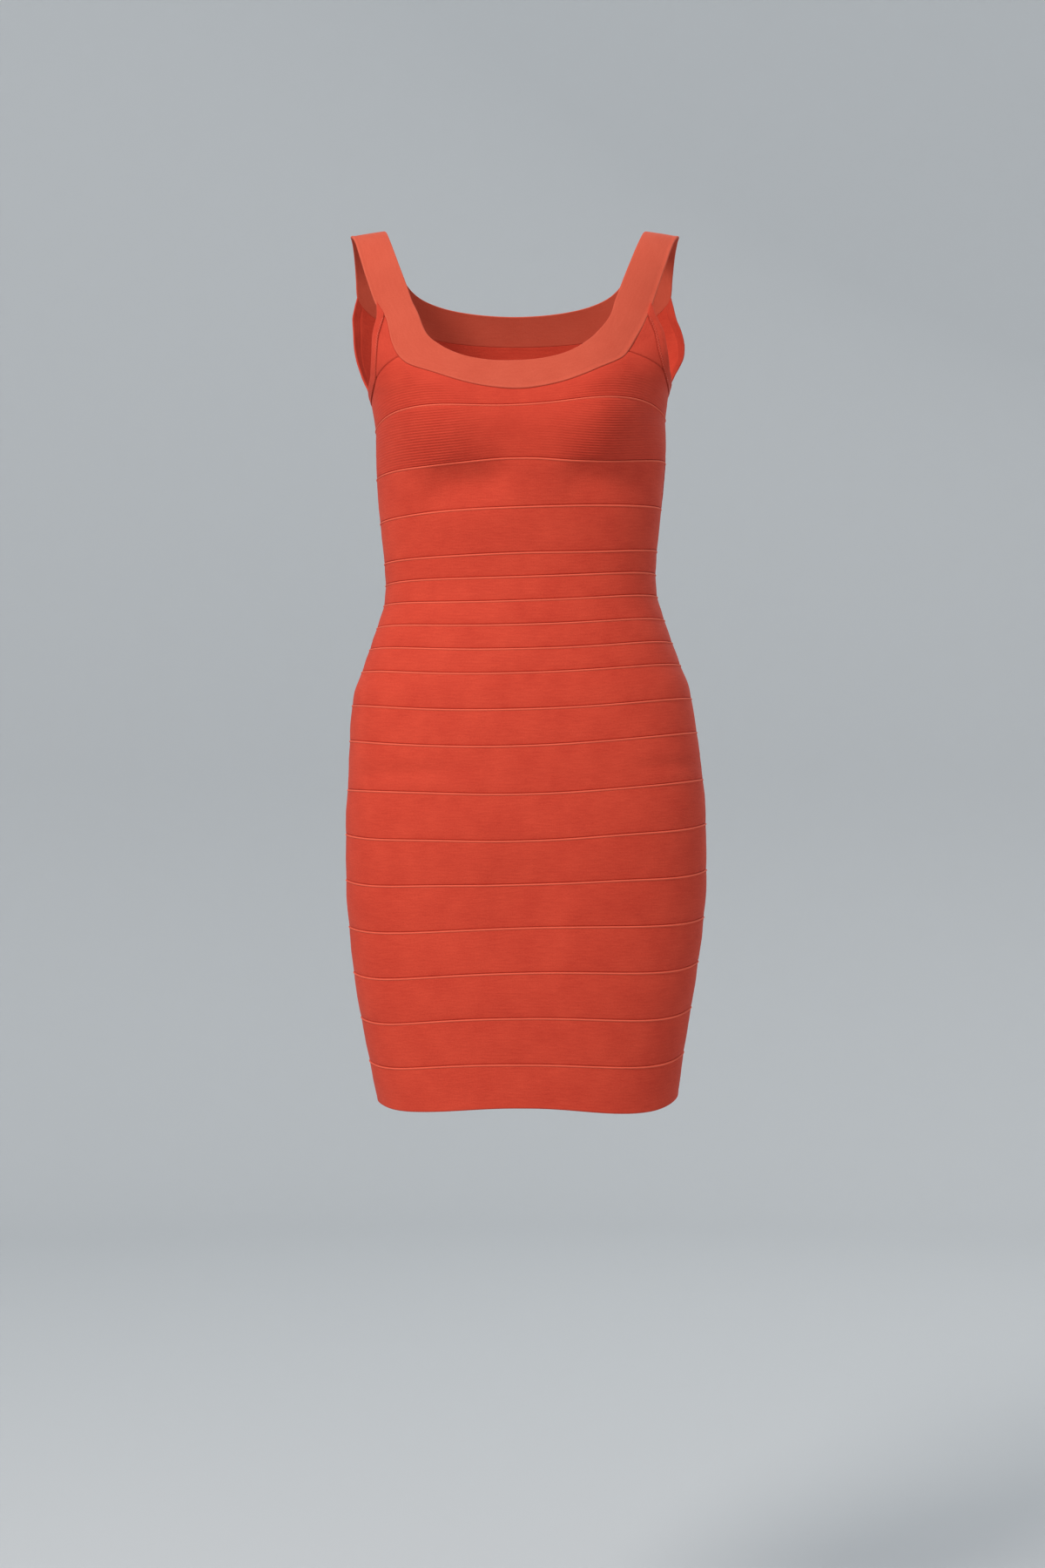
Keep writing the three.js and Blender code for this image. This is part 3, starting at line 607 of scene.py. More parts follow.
def finishTree(tree, geometry, material):
    real = addNode(tree, "GeometryNodeRealizeInstances", geometry)
    dressed = addNode(tree, "GeometryNodeSetMaterial", {"Geometry": real, "Material": material})
    addNode(tree, "NodeGroupOutput", dressed)


# What the sections of all pieces share; the rest are inputs of the tree.
sectionLook = {
    "rollPower": 0.7,   # below 1 it makes a rolled edge fuller than a sine wave
    "fullValley": 0.4,  # height of rib beside which a valley gets its full painted shade
    "waverDetail": 1.0,
}


def buildSectionTree():
    # gives a plain wall its section: rolled edges, swell, ribs, rounded rims and a slight waver
    tree = bpy.data.node_groups.new("bandSection", "GeometryNodeTree")
    given = groupInputs(tree, [
        ("Top roll height", "NodeSocketFloat", 0.0),
        ("Top roll width", "NodeSocketFloat", 0.002),
        ("Bottom roll height", "NodeSocketFloat", 0.0),
        ("Bottom roll width", "NodeSocketFloat", 0.002),
        ("Bottom tuck", "NodeSocketFloat", 0.0),
        ("Top tuck", "NodeSocketFloat", 0.0),
        ("Tuck width", "NodeSocketFloat", 0.0022),
        # how strongly each edge gets a painted highlight on its crest or painted shade in its groove, and
        # their widths
        ("Top crest", "NodeSocketFloat", 0.0),
        ("Bottom crest", "NodeSocketFloat", 0.0),
        ("Top groove", "NodeSocketFloat", 1.0),
        ("Bottom groove", "NodeSocketFloat", 1.0),
        ("Crest width", "NodeSocketFloat", 0.002),
        ("Groove width", "NodeSocketFloat", 0.0012),
        ("Swell", "NodeSocketFloat", 0.0),
        ("Rib pitch", "NodeSocketFloat", 0.0023),
        ("Rib height", "NodeSocketFloat", 0.0),
        ("Rib least share", "NodeSocketFloat", 0.15),
        ("Rib centre", "NodeSocketFloat", 0.08),
        ("Rib spread", "NodeSocketFloat", 0.036),
        ("Rib fade", "NodeSocketFloat", 0.002),
        ("Edge radius", "NodeSocketFloat", 0.0008),
        ("Waver height", "NodeSocketFloat", 0.0002),
        ("Waver size", "NodeSocketFloat", 0.03),
        ("Waver stretch", "NodeSocketFloat", 2.4),
        ("Waver seed", "NodeSocketFloat", 1.0),
        ("Cloth", "NodeSocketMaterial", None),
    ])

    known = {}
    for key in ("rise", "drop", "ends", "outer"):
        known[key] = addNode(tree, "GeometryNodeInputNamedAttribute", {"Name": key}, data_type="FLOAT")
    rise, drop, ends, outer = known.values()
    edges = ((drop, "Top"), (rise, "Bottom"))

    total = 0.0
    for distance, edge in edges:
        width = given[f"{edge} roll width"]
        across = addNode(tree, mathNode, distance, width, operation="DIVIDE", use_clamp=True)
        angle = addNode(tree, mathNode, across, math.pi, operation="MULTIPLY")
        wave = addNode(tree, mathNode, angle, operation="SINE")
        wave = addNode(tree, mathNode, wave, 0.0, operation="MAXIMUM")
        roll = addNode(tree, mathNode, wave, sectionLook["rollPower"], operation="POWER")
        roll = addNode(tree, mathNode, roll, given[f"{edge} roll height"], operation="MULTIPLY")
        total = addNode(tree, mathNode, roll, total, operation="ADD")
    for distance, edge in edges:
        away = addNode(tree, mathNode, distance, given["Tuck width"], operation="DIVIDE", use_clamp=True)
        beside = addNode(tree, mathNode, 1.0, away, operation="SUBTRACT")
        tuck = addNode(tree, mathNode, beside, beside, operation="MULTIPLY")
        tuck = addNode(tree, mathNode, tuck, given[f"{edge} tuck"], operation="MULTIPLY")
        total = addNode(tree, mathNode, total, tuck, operation="SUBTRACT")
    height = addNode(tree, mathNode, rise, drop, operation="ADD")
    share = addNode(tree, mathNode, rise, height, operation="DIVIDE")
    rest = addNode(tree, mathNode, 1.0, share, operation="SUBTRACT")
    arch = addNode(tree, mathNode, share, rest, operation="MULTIPLY")
    arch = addNode(tree, mathNode, arch, 4.0, operation="MULTIPLY")
    swell = addNode(tree, mathNode, arch, given["Swell"], operation="MULTIPLY")
    total = addNode(tree, mathNode, total, swell, operation="ADD")

    # ribs run along the piece, tallest at the rib centre on either side of the middle
    turns = addNode(tree, mathNode, rise, given["Rib pitch"], operation="DIVIDE")
    angle = addNode(tree, mathNode, turns, 2 * math.pi, operation="MULTIPLY")
    wave = addNode(tree, mathNode, angle, operation="COSINE")
    wave = addNode(tree, mathNode, 1.0, wave, operation="SUBTRACT")
    ribs = addNode(tree, mathNode, wave, 0.5, operation="MULTIPLY")
    underRoll = addNode(tree, mathNode, drop, given["Top roll width"], operation="SUBTRACT")
    clearTop = addNode(tree, mathNode, underRoll, given["Rib fade"], operation="DIVIDE", use_clamp=True)
    position = addNode(tree, "GeometryNodeInputPosition")
    x = addNode(tree, "ShaderNodeSeparateXYZ", position)
    sideways = addNode(tree, mathNode, x, operation="ABSOLUTE")
    away = addNode(tree, mathNode, sideways, given["Rib centre"], operation="SUBTRACT")
    away = addNode(tree, mathNode, away, given["Rib spread"], operation="DIVIDE")
    square = addNode(tree, mathNode, away, away, operation="MULTIPLY")
    square = addNode(tree, mathNode, square, -1.0, operation="MULTIPLY")
    central = addNode(tree, mathNode, square, operation="EXPONENT")
    rest = addNode(tree, mathNode, 1.0, given["Rib least share"], operation="SUBTRACT")
    rest = addNode(tree, mathNode, central, rest, operation="MULTIPLY")
    ribShare = addNode(tree, mathNode, given["Rib least share"], rest, operation="ADD")
    ribShare = addNode(tree, mathNode, ribShare, clearTop, operation="MULTIPLY")
    ribHeight = addNode(tree, mathNode, ribShare, given["Rib height"], operation="MULTIPLY")
    raised = addNode(tree, mathNode, ribs, ribHeight, operation="MULTIPLY")
    total = addNode(tree, mathNode, total, raised, operation="ADD")
    # the depth between ribs, which the material turns into painted shade in the valleys
    between = addNode(tree, mathNode, 1.0, ribs, operation="SUBTRACT")
    depth = addNode(tree, mathNode, between, ribHeight, operation="MULTIPLY")
    perDepth = 1 / (sectionLook["fullValley"] * millimetre)
    valley = addNode(tree, mathNode, depth, perDepth, operation="MULTIPLY")

    # a slight unevenness, drawn out along the piece
    scale = addNode(tree, mathNode, 1.0, given["Waver size"], operation="DIVIDE")
    stretch = addNode(tree, "ShaderNodeCombineXYZ", 1.0, 1.0, given["Waver stretch"])
    place = addNode(tree, "ShaderNodeVectorMath", position, stretch, operation="MULTIPLY")
    noise = addNode(tree, "ShaderNodeTexNoise", {
        "Vector": place, "W": given["Waver seed"], "Scale": scale, "Detail": sectionLook["waverDetail"],
    }, noise_dimensions="4D")
    uneven = addNode(tree, mathNode, noise, 0.5, operation="SUBTRACT")
    span = addNode(tree, mathNode, given["Waver height"], 2.0, operation="MULTIPLY")
    waver = addNode(tree, mathNode, uneven, span, operation="MULTIPLY")
    total = addNode(tree, mathNode, total, waver, operation="ADD")
    total = addNode(tree, mathNode, total, outer, operation="MULTIPLY")

    # every rim is rounded from both faces: the outer face sinks and the inner one rises
    twice = addNode(tree, mathNode, outer, 2.0, operation="MULTIPLY")
    facesIn = addNode(tree, mathNode, 1.0, twice, operation="SUBTRACT")
    for distance in (rise, drop, ends):
        away = addNode(tree, mathNode, distance, given["Edge radius"], operation="DIVIDE", use_clamp=True)
        beside = addNode(tree, mathNode, 1.0, away, operation="SUBTRACT")
        square = addNode(tree, mathNode, beside, beside, operation="MULTIPLY")
        square = addNode(tree, mathNode, 1.0, square, operation="SUBTRACT")
        level = addNode(tree, mathNode, square, operation="SQRT")
        fall = addNode(tree, mathNode, 1.0, level, operation="SUBTRACT")
        fall = addNode(tree, mathNode, fall, given["Edge radius"], operation="MULTIPLY")
        fall = addNode(tree, mathNode, fall, facesIn, operation="MULTIPLY")
        total = addNode(tree, mathNode, total, fall, operation="ADD")
    facing = addNode(tree, "GeometryNodeInputNamedAttribute", {"Name": "facing"}, data_type="FLOAT_VECTOR")
    offset = addNode(tree, "ShaderNodeVectorMath", {"Vector": facing, "Scale": total}, operation="SCALE")

    # how much painted highlight each point gets on a crest, and painted shade in a groove, for the material
    crest, groove = 0.0, 0.0
    middle = addNode(tree, mathNode, given["Crest width"], 0.5, operation="MULTIPLY")
    for distance, edge in edges:
        away = addNode(tree, mathNode, distance, middle, operation="SUBTRACT")
        away = addNode(tree, mathNode, away, operation="ABSOLUTE")
        away = addNode(tree, mathNode, away, middle, operation="DIVIDE", use_clamp=True)
        square = addNode(tree, mathNode, away, away, operation="MULTIPLY")
        pale = addNode(tree, mathNode, 1.0, square, operation="SUBTRACT")
        pale = addNode(tree, mathNode, pale, given[f"{edge} crest"], operation="MULTIPLY")
        crest = addNode(tree, mathNode, crest, pale, operation="ADD")
        # painted shade in a narrow band along each edge, for the dark line of a groove
        away = addNode(tree, mathNode, distance, given["Groove width"], operation="DIVIDE", use_clamp=True)
        dark = addNode(tree, mathNode, 1.0, away, operation="SUBTRACT")
        dark = addNode(tree, mathNode, dark, given[f"{edge} groove"], operation="MULTIPLY")
        groove = addNode(tree, mathNode, groove, dark, operation="ADD")
    stored = given["Geometry"]
    for key, value in (("crest", crest), ("groove", groove), ("valley", valley)):
        value = addNode(tree, mathNode, value, outer, operation="MULTIPLY")
        stored = addNode(tree, "GeometryNodeStoreNamedAttribute",
                         {"Geometry": stored, "Name": key, "Value": value}, data_type="FLOAT", domain="POINT")
    moved = addNode(tree, "GeometryNodeSetPosition", {"Geometry": stored, "Offset": offset})
    smooth = addNode(tree, "GeometryNodeSetShadeSmooth", moved)
    finishTree(tree, smooth, given["Cloth"])
    return tree


threadSides = 5


def buildThreadTree():
    # a sewn thread that zigzags along a line of points
    tree = bpy.data.node_groups.new("sewnThread", "GeometryNodeTree")
    given = groupInputs(tree, [
        ("Stitch length", "NodeSocketFloat", 0.0015),
        ("Stitch width", "NodeSocketFloat", 0.002),
        ("Thread radius", "NodeSocketFloat", 0.00022),
        ("Thread", "NodeSocketMaterial", None),
    ])

    line = addNode(tree, "GeometryNodeMeshToCurve", given["Geometry"])
    even = addNode(tree, "GeometryNodeResampleCurve",
                   {"Curve": line, "Length": given["Stitch length"]}, mode="LENGTH")
    facing = addNode(tree, "GeometryNodeInputNamedAttribute", {"Name": "facing"}, data_type="FLOAT_VECTOR")
    tangent = addNode(tree, "GeometryNodeInputTangent")
    sideways = addNode(tree, "ShaderNodeVectorMath", facing, tangent, operation="CROSS_PRODUCT")
    # every other point goes to the other side
    index = addNode(tree, "GeometryNodeInputIndex")
    odd = addNode(tree, mathNode, index, 2.0, operation="MODULO")
    turn = addNode(tree, mathNode, odd, 0.5, operation="SUBTRACT")
    reach = addNode(tree, mathNode, turn, given["Stitch width"], operation="MULTIPLY")
    offset = addNode(tree, "ShaderNodeVectorMath", {"Vector": sideways, "Scale": reach}, operation="SCALE")
    zigzag = addNode(tree, "GeometryNodeSetPosition", {"Geometry": even, "Offset": offset})
    section = addNode(tree, "GeometryNodeCurvePrimitiveCircle",
                      {"Resolution": threadSides, "Radius": given["Thread radius"]})
    tube = addNode(tree, "GeometryNodeCurveToMesh",
                   {"Curve": zigzag, "Profile Curve": section, "Fill Caps": True})
    finishTree(tree, tube, given["Thread"])
    return tree


def grown(made, tree, values):
    # runs a node tree on a piece and keeps the result as its plain mesh
    modifier = made.modifiers.new(tree.name, "NODES")
    modifier.node_group = tree
    sockets = {item.name: item.identifier for item in tree.interface.items_tree if item.in_out == "INPUT"}
    for key, value in values.items():
        modifier[sockets[key]] = value
    made.update_tag()
    evaluated = made.evaluated_get(bpy.context.evaluated_depsgraph_get())
    mesh = bpy.data.meshes.new_from_object(evaluated)
    mesh.name = made.name
    made.modifiers.clear()
    made.data = mesh


# Materials

# What all the knits share. Lengths are in millimetres.
knitLook = {
    "courseShare": 0.7,      # of the stitches' relief, and the wales' share
    "waleShare": 0.3,
    "speckleDetail": 3.0,
    "speckleRoughness": 0.7,
    "slubDetail": 1.0,
    "mottleDetail": 2.0,
    "speckleBump": 1.2,
    "slubBump": 0.6,
    "bumpHeight": 0.4,
    "ior": 1.46,
    "sheenRoughness": 0.45,
}


def knitMaterial(name, look):
    material = bpy.data.materials.new(name)
    material.use_nodes = True
    tree = material.node_tree
    tree.nodes.clear()
    uv = addNode(tree, "ShaderNodeUVMap", uv_map="knit")
    spot = addNode(tree, "ShaderNodeSeparateXYZ", uv).outputs
    # courses run along the strip and wales up it
    stitches = []
    for key, axis in (("course", 1), ("wale", 0)):
        turns = addNode(tree, mathNode, spot[axis], 1 / (look[key] * millimetre), operation="MULTIPLY")
        angle = addNode(tree, mathNode, turns, 2 * math.pi, operation="MULTIPLY")
        wave = addNode(tree, mathNode, angle, operation="SINE")
        stitches.append(addNode(tree, mathNode, wave, knitLook[f"{key}Share"], operation="MULTIPLY"))
    stitches = addNode(tree, mathNode, *stitches, operation="ADD")
    # short streaks, long slubs and broad mottling
    short = addNode(tree, "ShaderNodeMapping", {"Vector": uv, "Scale": (1.0, look["streak"], 1.0)})
    speckle = addNode(tree, "ShaderNodeTexNoise", {
        "Vector": short, "Scale": 1 / (look["speckle"] * millimetre), "Detail": knitLook["speckleDetail"],
        "Roughness": knitLook["speckleRoughness"],
    })
    long = addNode(tree, "ShaderNodeMapping", {"Vector": uv, "Scale": (1.0, look["slub"], 1.0)})
    slub = addNode(tree, "ShaderNodeTexNoise", {
        "Vector": long, "Scale": 1 / (look["slubLength"] * millimetre), "Detail": knitLook["slubDetail"],
    })
    place = addNode(tree, "ShaderNodeTexCoord").outputs["Object"]
    mottle = addNode(tree, "ShaderNodeTexNoise", {
        "Vector": place, "Scale": 1 / (look["mottle"] * millimetre), "Detail": knitLook["mottleDetail"],
    })
    tone = 0.0
    for pattern, amount in ((speckle, "speckleTone"), (slub, "slubTone"), (mottle, "mottleTone")):
        shift = addNode(tree, mathNode, pattern, 0.5, operation="SUBTRACT")
        shift = addNode(tree, mathNode, shift, look[amount], operation="MULTIPLY")
        tone = addNode(tree, mathNode, tone, shift, operation="ADD")
    shift = addNode(tree, mathNode, stitches, look["stitchTone"], operation="MULTIPLY")
    tone = addNode(tree, mathNode, tone, shift, operation="ADD")
    share = addNode(tree, mathNode, tone, 0.5, operation="ADD", use_clamp=True)
    deep, pale = hexColour(look["deep"]), hexColour(look["pale"])
    base = addNode(tree, "ShaderNodeMix", {0: share, 6: deep, 7: pale}, data_type="RGBA").outputs[2]
    # painted highlight along rolled edges, and painted shade in the grooves and in the valleys between ribs
    for key, tint in (("valley", "shadow"), ("crest", "highlightTint"), ("groove", "shadow")):
        here = addNode(tree, "ShaderNodeAttribute", attribute_name=key).outputs["Fac"]
        share = addNode(tree, mathNode, here, look[key], operation="MULTIPLY", use_clamp=True)
        colour = hexColour(look[tint])
        base = addNode(tree, "ShaderNodeMix", {0: share, 6: base, 7: colour}, data_type="RGBA").outputs[2]
    height = addNode(tree, mathNode, stitches, look["stitchBump"], operation="MULTIPLY")
    for pattern, amount in ((speckle, "speckleBump"), (slub, "slubBump")):
        relief = addNode(tree, mathNode, pattern, knitLook[amount], operation="MULTIPLY")
        height = addNode(tree, mathNode, height, relief, operation="ADD")
    bump = addNode(tree, "ShaderNodeBump", {
        "Strength": look["bump"], "Distance": knitLook["bumpHeight"] * millimetre, "Height": height,
    })
    shader = addNode(tree, "ShaderNodeBsdfPrincipled", {
        "Base Color": base, "Roughness": look["roughness"], "IOR": knitLook["ior"],
        "Specular IOR Level": look["specular"], "Sheen Weight": look["sheen"],
        "Sheen Roughness": knitLook["sheenRoughness"], "Sheen Tint": hexColour(look["sheenTint"]),
        "Normal": bump,
    })
    addNode(tree, "ShaderNodeOutputMaterial", shader)
    return material


# Rayon, nylon and spandex bandage knit: a dense matte jersey that looks soft, with a faint pale sheen
# where it turns away. Real courses are about 0.5 mm apart, drawn at 1.1 mm so that they can show.
# Each knit has two tones of its own, a painted highlight colour for crests and a painted shade colour for
# grooves and rib valleys.
stripKnit = knitMaterial("rayonBandageKnit", {
    "deep": "#BC3525", "pale": "#DC4E37", "highlightTint": "#EE6B51", "shadow": "#861F13",
    "course": 1.1, "wale": 1.4, "streak": 1.5, "speckle": 1.9, "slub": 9, "slubLength": 14, "mottle": 26,
    "speckleTone": 0.8, "slubTone": 0.5, "mottleTone": 0.6, "stitchTone": 0.05, "stitchBump": 0.2,
    "crest": 0.8, "groove": 0.85, "valley": 0,
    "bump": 0.4, "roughness": 0.78, "specular": 0.18, "sheen": 0.07, "sheenTint": "#FFB9A8",
})
# The ribbed strips over the bust are the same yarn, knitted in raised rows.
ribKnit = knitMaterial("rayonRibKnit", {
    "deep": "#BA3424", "pale": "#D94B35", "highlightTint": "#EE6B51", "shadow": "#861F13",
    "course": 1.175, "wale": 1.2, "streak": 1.5, "speckle": 1.8, "slub": 9, "slubLength": 12, "mottle": 24,
    "speckleTone": 0.6, "slubTone": 0.4, "mottleTone": 0.5, "stitchTone": 0.04, "stitchBump": 0.15,
    "crest": 0.75, "groove": 0.85, "valley": 0.32,
    "bump": 0.35, "roughness": 0.8, "specular": 0.18, "sheen": 0.07, "sheenTint": "#FFB9A8",
})
# The neckband is knitted finer and closer, so it looks smoother and paler.
bandKnit = knitMaterial("fineNeckbandKnit", {
    "deep": "#BD4934", "pale": "#D15D46", "highlightTint": "#E16C54", "shadow": "#7E261A",
    "course": 0.9, "wale": 1.1, "streak": 1.3, "speckle": 1.8, "slub": 5, "slubLength": 12, "mottle": 30,
    "speckleTone": 0.7, "slubTone": 0.3, "mottleTone": 0.5, "stitchTone": 0.03, "stitchBump": 0.08,
    "crest": 0.5, "groove": 0.6, "valley": 0,
    "bump": 0.3, "roughness": 0.8, "specular": 0.18, "sheen": 0.08, "sheenTint": "#FFC2B2",
})
# The armhole bindings and the front corners are the strips' yarn in a closer knit.
bindingKnit = knitMaterial("fineBindingKnit", {
    "deep": "#B83626", "pale": "#D44B36", "highlightTint": "#DE5A44", "shadow": "#7C1C11",
    "course": 0.9, "wale": 1.1, "streak": 1.3, "speckle": 1.8, "slub": 4, "slubLength": 8, "mottle": 20,
    "speckleTone": 0.8, "slubTone": 0.4, "mottleTone": 0.5, "stitchTone": 0.04, "stitchBump": 0.1,
    "crest": 0.5, "groove": 0.7, "valley": 0,
    "bump": 0.35, "roughness": 0.8, "specular": 0.18, "sheen": 0.07, "sheenTint": "#FFB9A8",
})


threadLook = {
    "deep": "#C93E2A", "pale": "#EE6A50", "twist": 900.0, "twistDetail": 1.0,
    "bump": 0.3, "bumpHeight": 0.1, "roughness": 0.55, "ior": 1.5,
}


def threadMaterial():
    # spun polyester sewing thread, a little brighter than the knit because it is smoother
    material = bpy.data.materials.new("polyesterThread")
    material.use_nodes = True
    tree = material.node_tree
    tree.nodes.clear()
    place = addNode(tree, "ShaderNodeTexCoord").outputs["Object"]
    twist = addNode(tree, "ShaderNodeTexNoise",
                    {"Vector": place, "Scale": threadLook["twist"], "Detail": threadLook["twistDetail"]})
    deep, pale = hexColour(threadLook["deep"]), hexColour(threadLook["pale"])
    colour = addNode(tree, "ShaderNodeMix", {0: twist, 6: deep, 7: pale}, data_type="RGBA").outputs[2]
    bump = addNode(tree, "ShaderNodeBump", {
        "Strength": threadLook["bump"], "Distance": threadLook["bumpHeight"] * millimetre, "Height": twist,
    })
    shader = addNode(tree, "ShaderNodeBsdfPrincipled", {
        "Base Color": colour, "Roughness": threadLook["roughness"], "IOR": threadLook["ior"], "Normal": bump,
    })
    addNode(tree, "ShaderNodeOutputMaterial", shader)
    return material


threadKnit = threadMaterial()
sectionTree = buildSectionTree()
threadTree = buildThreadTree()
print("materials and node trees")


# Pieces

# a rolled top edge, with a painted highlight along its crest and no painted shade along it
rolledTop = {"Top roll height": 0.75, "Top roll width": 1.9, "Top crest": 1, "Top groove": 0}
uneven = {"Waver height": 0.35, "Waver size": 26}
lessUneven = {"Waver height": 0.3, "Waver size": 26}
ribs = {"Rib pitch": 2.35, "Rib height": 0.42, "Rib least share": 0.12, "Rib centre": 80, "Rib spread": 36}
# Each kind of piece: its knit, its material slot and the inputs of its section, lengths in millimetres.
kinds = {
    "strip": {"knit": stripKnit, "slot": "strip_knit", "section": {
        **rolledTop, **uneven, "Bottom tuck": 0.5, "Swell": 0.5,
    }},
    "ribbedStrip": {"knit": ribKnit, "slot": "strip_knit", "section": {
        **rolledTop, **uneven, "Bottom tuck": 0.5, "Swell": 0.5, **ribs, "Rib fade": 3,
    }},
    "hem": {"knit": stripKnit, "slot": "strip_knit", "section": {
        **rolledTop, **uneven, "Bottom groove": 0.45, "Bottom roll height": 0.3, "Bottom roll width": 3.0,
        "Swell": 0.4,
    }},
    "ribbedYoke": {"knit": ribKnit, "slot": "strip_knit", "section": {
        **lessUneven, "Top tuck": 0.4, "Bottom tuck": 0.5, "Swell": 0.3, **ribs, "Rib fade": 16,
    }},
    "backYoke": {"knit": stripKnit, "slot": "strip_knit", "section": {
        **lessUneven, "Top tuck": 0.4, "Bottom tuck": 0.4, "Swell": 0.3,
    }},
    "backStrip": {"knit": stripKnit, "slot": "strip_knit", "section": {
        **uneven, "Top roll height": 0.5, "Top roll width": 1.9, "Top crest": 0.6, "Top groove": 0,
        "Bottom tuck": 0.5, "Swell": 0.4,
    }},
    "neckband": {"knit": bandKnit, "slot": "band_knit", "section": {
        "Bottom roll height": 0.5, "Bottom roll width": 3.0, "Bottom crest": 0.6, "Bottom groove": 0,
        "Top crest": 0.15, "Top groove": 0, "Swell": 0.25, "Waver height": 0.22, "Waver size": 30,
    }},
    "binding": {"knit": bindingKnit, "slot": "band_knit", "section": {
        "Bottom groove": 0.9, "Top groove": 0.15, "Top crest": 0.3, "Swell": 0.5, "Waver height": 0.28,
        "Waver size": 9,
    }},
    "corner": {"knit": bindingKnit, "slot": "strip_knit", "section": {
        "Top tuck": 0.25, "Bottom tuck": 0.3, "Swell": 0.1, "Bottom groove": 0.35, "Waver height": 0.15,
        "Waver size": 24,
    }},
}
shares = ("Top crest", "Bottom crest", "Top groove", "Bottom groove", "Rib least share")  # not lengths
# Seeds of the waver; the other strips have their number, one less in front and one more behind.
seeds = {
    "frontStrip01": 31.0, "backStrip01": 32.0, "backYoke": 33.0,
    "rightArmholeBinding": 41.0, "leftArmholeBinding": 42.0,
    "rightFrontCorner": 43.0, "leftFrontCorner": 44.0,
    "frontNeckband": 51.0, "backNeckband": 52.0,
}
pieceList = []


def finishPiece(made, kind, seed, area):
    # the size and area are those of the worn piece
    node = re.sub("([A-Z]|[0-9]+)", r"_\1", made.name).lower()
    values = {}
    for key, value in kind["section"].items():
        values[key] = float(value) if key in shares else value * millimetre
    values["Edge radius"] = cloth["edgeRound"] * millimetre
    values["Waver seed"] = seed
    values["Cloth"] = kind["knit"]
    grown(made, sectionTree, values)
    low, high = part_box(node)
    mine = np.array([v.co for v in made.data.vertices])
    off = max(np.abs(mine.min(axis=0) - np.array(low)).max(), np.abs(mine.max(axis=0) - np.array(high)).max())
    # a piece is cut narrower than it is worn
    area = area / cloth["stretch"] * millimetre ** 2
    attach(made, "root")
    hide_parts(node)
    pieceList.append((made.name, len(made.data.polygons), off / millimetre))


def areaAlong(lengths, widths):
    return float((np.diff(lengths) * (widths[:-1] + widths[1:]) / 2).sum())


def stripPiece(name, kindName, seed, turns, top, bottom):
    # a strip between two seams: columns stand on the turns, with the seams' heights at each
    kind = kinds[kindName]
    side = frontSide if turns.mean() < 0 else backSide
    height = top - bottom
    step = ribs["Rib pitch"] / meshRows["rowsInRib"] if "Rib fade" in kind["section"] else meshRows["row"]
    rise = spacedRows(height, meshRows["edge"], meshRows["roll"], step)
    z = bottom[:, None] + rise
    points, facing = clothGrid(turns[:, None] * np.ones_like(z), z, side)
    # distances are measured square to a sloping edge
    along = lengthsAlong(facePoint(turns, (top + bottom) / 2))
    topSquare = 1 / np.hypot(1, np.gradient(top, along))
    bottomSquare = 1 / np.hypot(1, np.gradient(bottom, along))
    drop = (height[:, None] - rise) * topSquare[:, None]
    made = wallObject(name, points, facing, rise * bottomSquare[:, None], drop)
    finishPiece(made, kind, seed, areaAlong(along, height))


sideTurn = -0.05     # degrees that a strip runs past the side seam, into its other half
firstFullStrip = 2   # the strips above it have a curved top
sideNames = {frontSide: "front", backSide: "back"}


def buildStrips():
    # the strips that reach from one side seam to the other
    for side in (frontSide, backSide):
        for number, (upper, lower) in enumerate(zip(seamRows, seamRows[1:]), firstFullStrip):
            turns = side * np.linspace(sideTurn, 180 - sideTurn, meshRows["sideSamples"])
            middle = (seamHeight(upper, turns) + seamHeight(lower, turns)) / 2
            turns = spreadTurns(turns, middle)
            last = number == len(seamRows)
            ribbed = side == frontSide and number == firstFullStrip
            kindName = "hem" if last else "ribbedStrip" if ribbed else "strip"
            top = seamHeight(upper, turns) - gap / 2
            bottom = seamHeight(lower, turns) + (0 if last else gap / 2)
            stripPiece(f"{sideNames[side]}Strip{number:02d}", kindName, number + side, turns, top, bottom)


leastStep = 1e-6  # degrees by which two columns differ


def pathHeights(parts):
    # several stretches of path as one curve of height against degrees, smooth inside each stretch
    fine = np.vstack([splitRows(part, meshRows["pathSplits"]) for part in parts])
    fine = fine[np.argsort(fine[:, 0])]
    keep = np.concatenate([[True], np.diff(fine[:, 0]) > leastStep])
    return fine[keep]


def curvedPiece(name, kindName, path, column, lower):
    # a strip whose top follows a path; lower gives the height of its seam at each column
    turns = spreadTurns(path[:, 0], path[:, 1], column)
    top = np.interp(turns, path[:, 0], path[:, 1])
    stripPiece(name, kindName, seeds[name], turns, top, lower(turns) + gap / 2)


def bustSeam(turns):
    return seamHeight(seamRows[0], turns)


def buildFrontStrip01():
    # its top follows the binding, the corner seam and the neckband
    splits = armhole["splits"]
    middle = neckPanelEdge[cornerStations:len(neckPanelEdge) - cornerStations]
    side = armPanelEdge[armhole["cornerFront"] * splits:armhole["side"] * splits + 1].copy()
    side[-1, 0] = -sideTurn
    corner = np.array([middle[-1], side[0]])
    path = pathHeights([flipped(side, frontSide), flipped(corner, frontSide), middle, corner, side])
    curvedPiece("frontStrip01", "ribbedYoke", path, meshRows["yokeColumn"], bustSeam)


def buildBackStrip01():
    # its top follows the bindings and the seam under the back yoke
    splits = armhole["splits"]
    side = armPanelEdge[armhole["side"] * splits:armhole["cornerBack"] * splits + 1].copy()
    side[0, 0] = sideTurn
    start = side[-1, 0]
    seamTurns = np.linspace(start, 180 - start, meshRows["yokeSamples"])[1:-1]
    seam = np.stack([seamTurns, backYokeHeight(seamTurns) - gap / 2], axis=1)
    path = pathHeights([side, seam, flipped(side, backSide)])
    curvedPiece("backStrip01", "backStrip", path, meshRows["backColumn"], bustSeam)


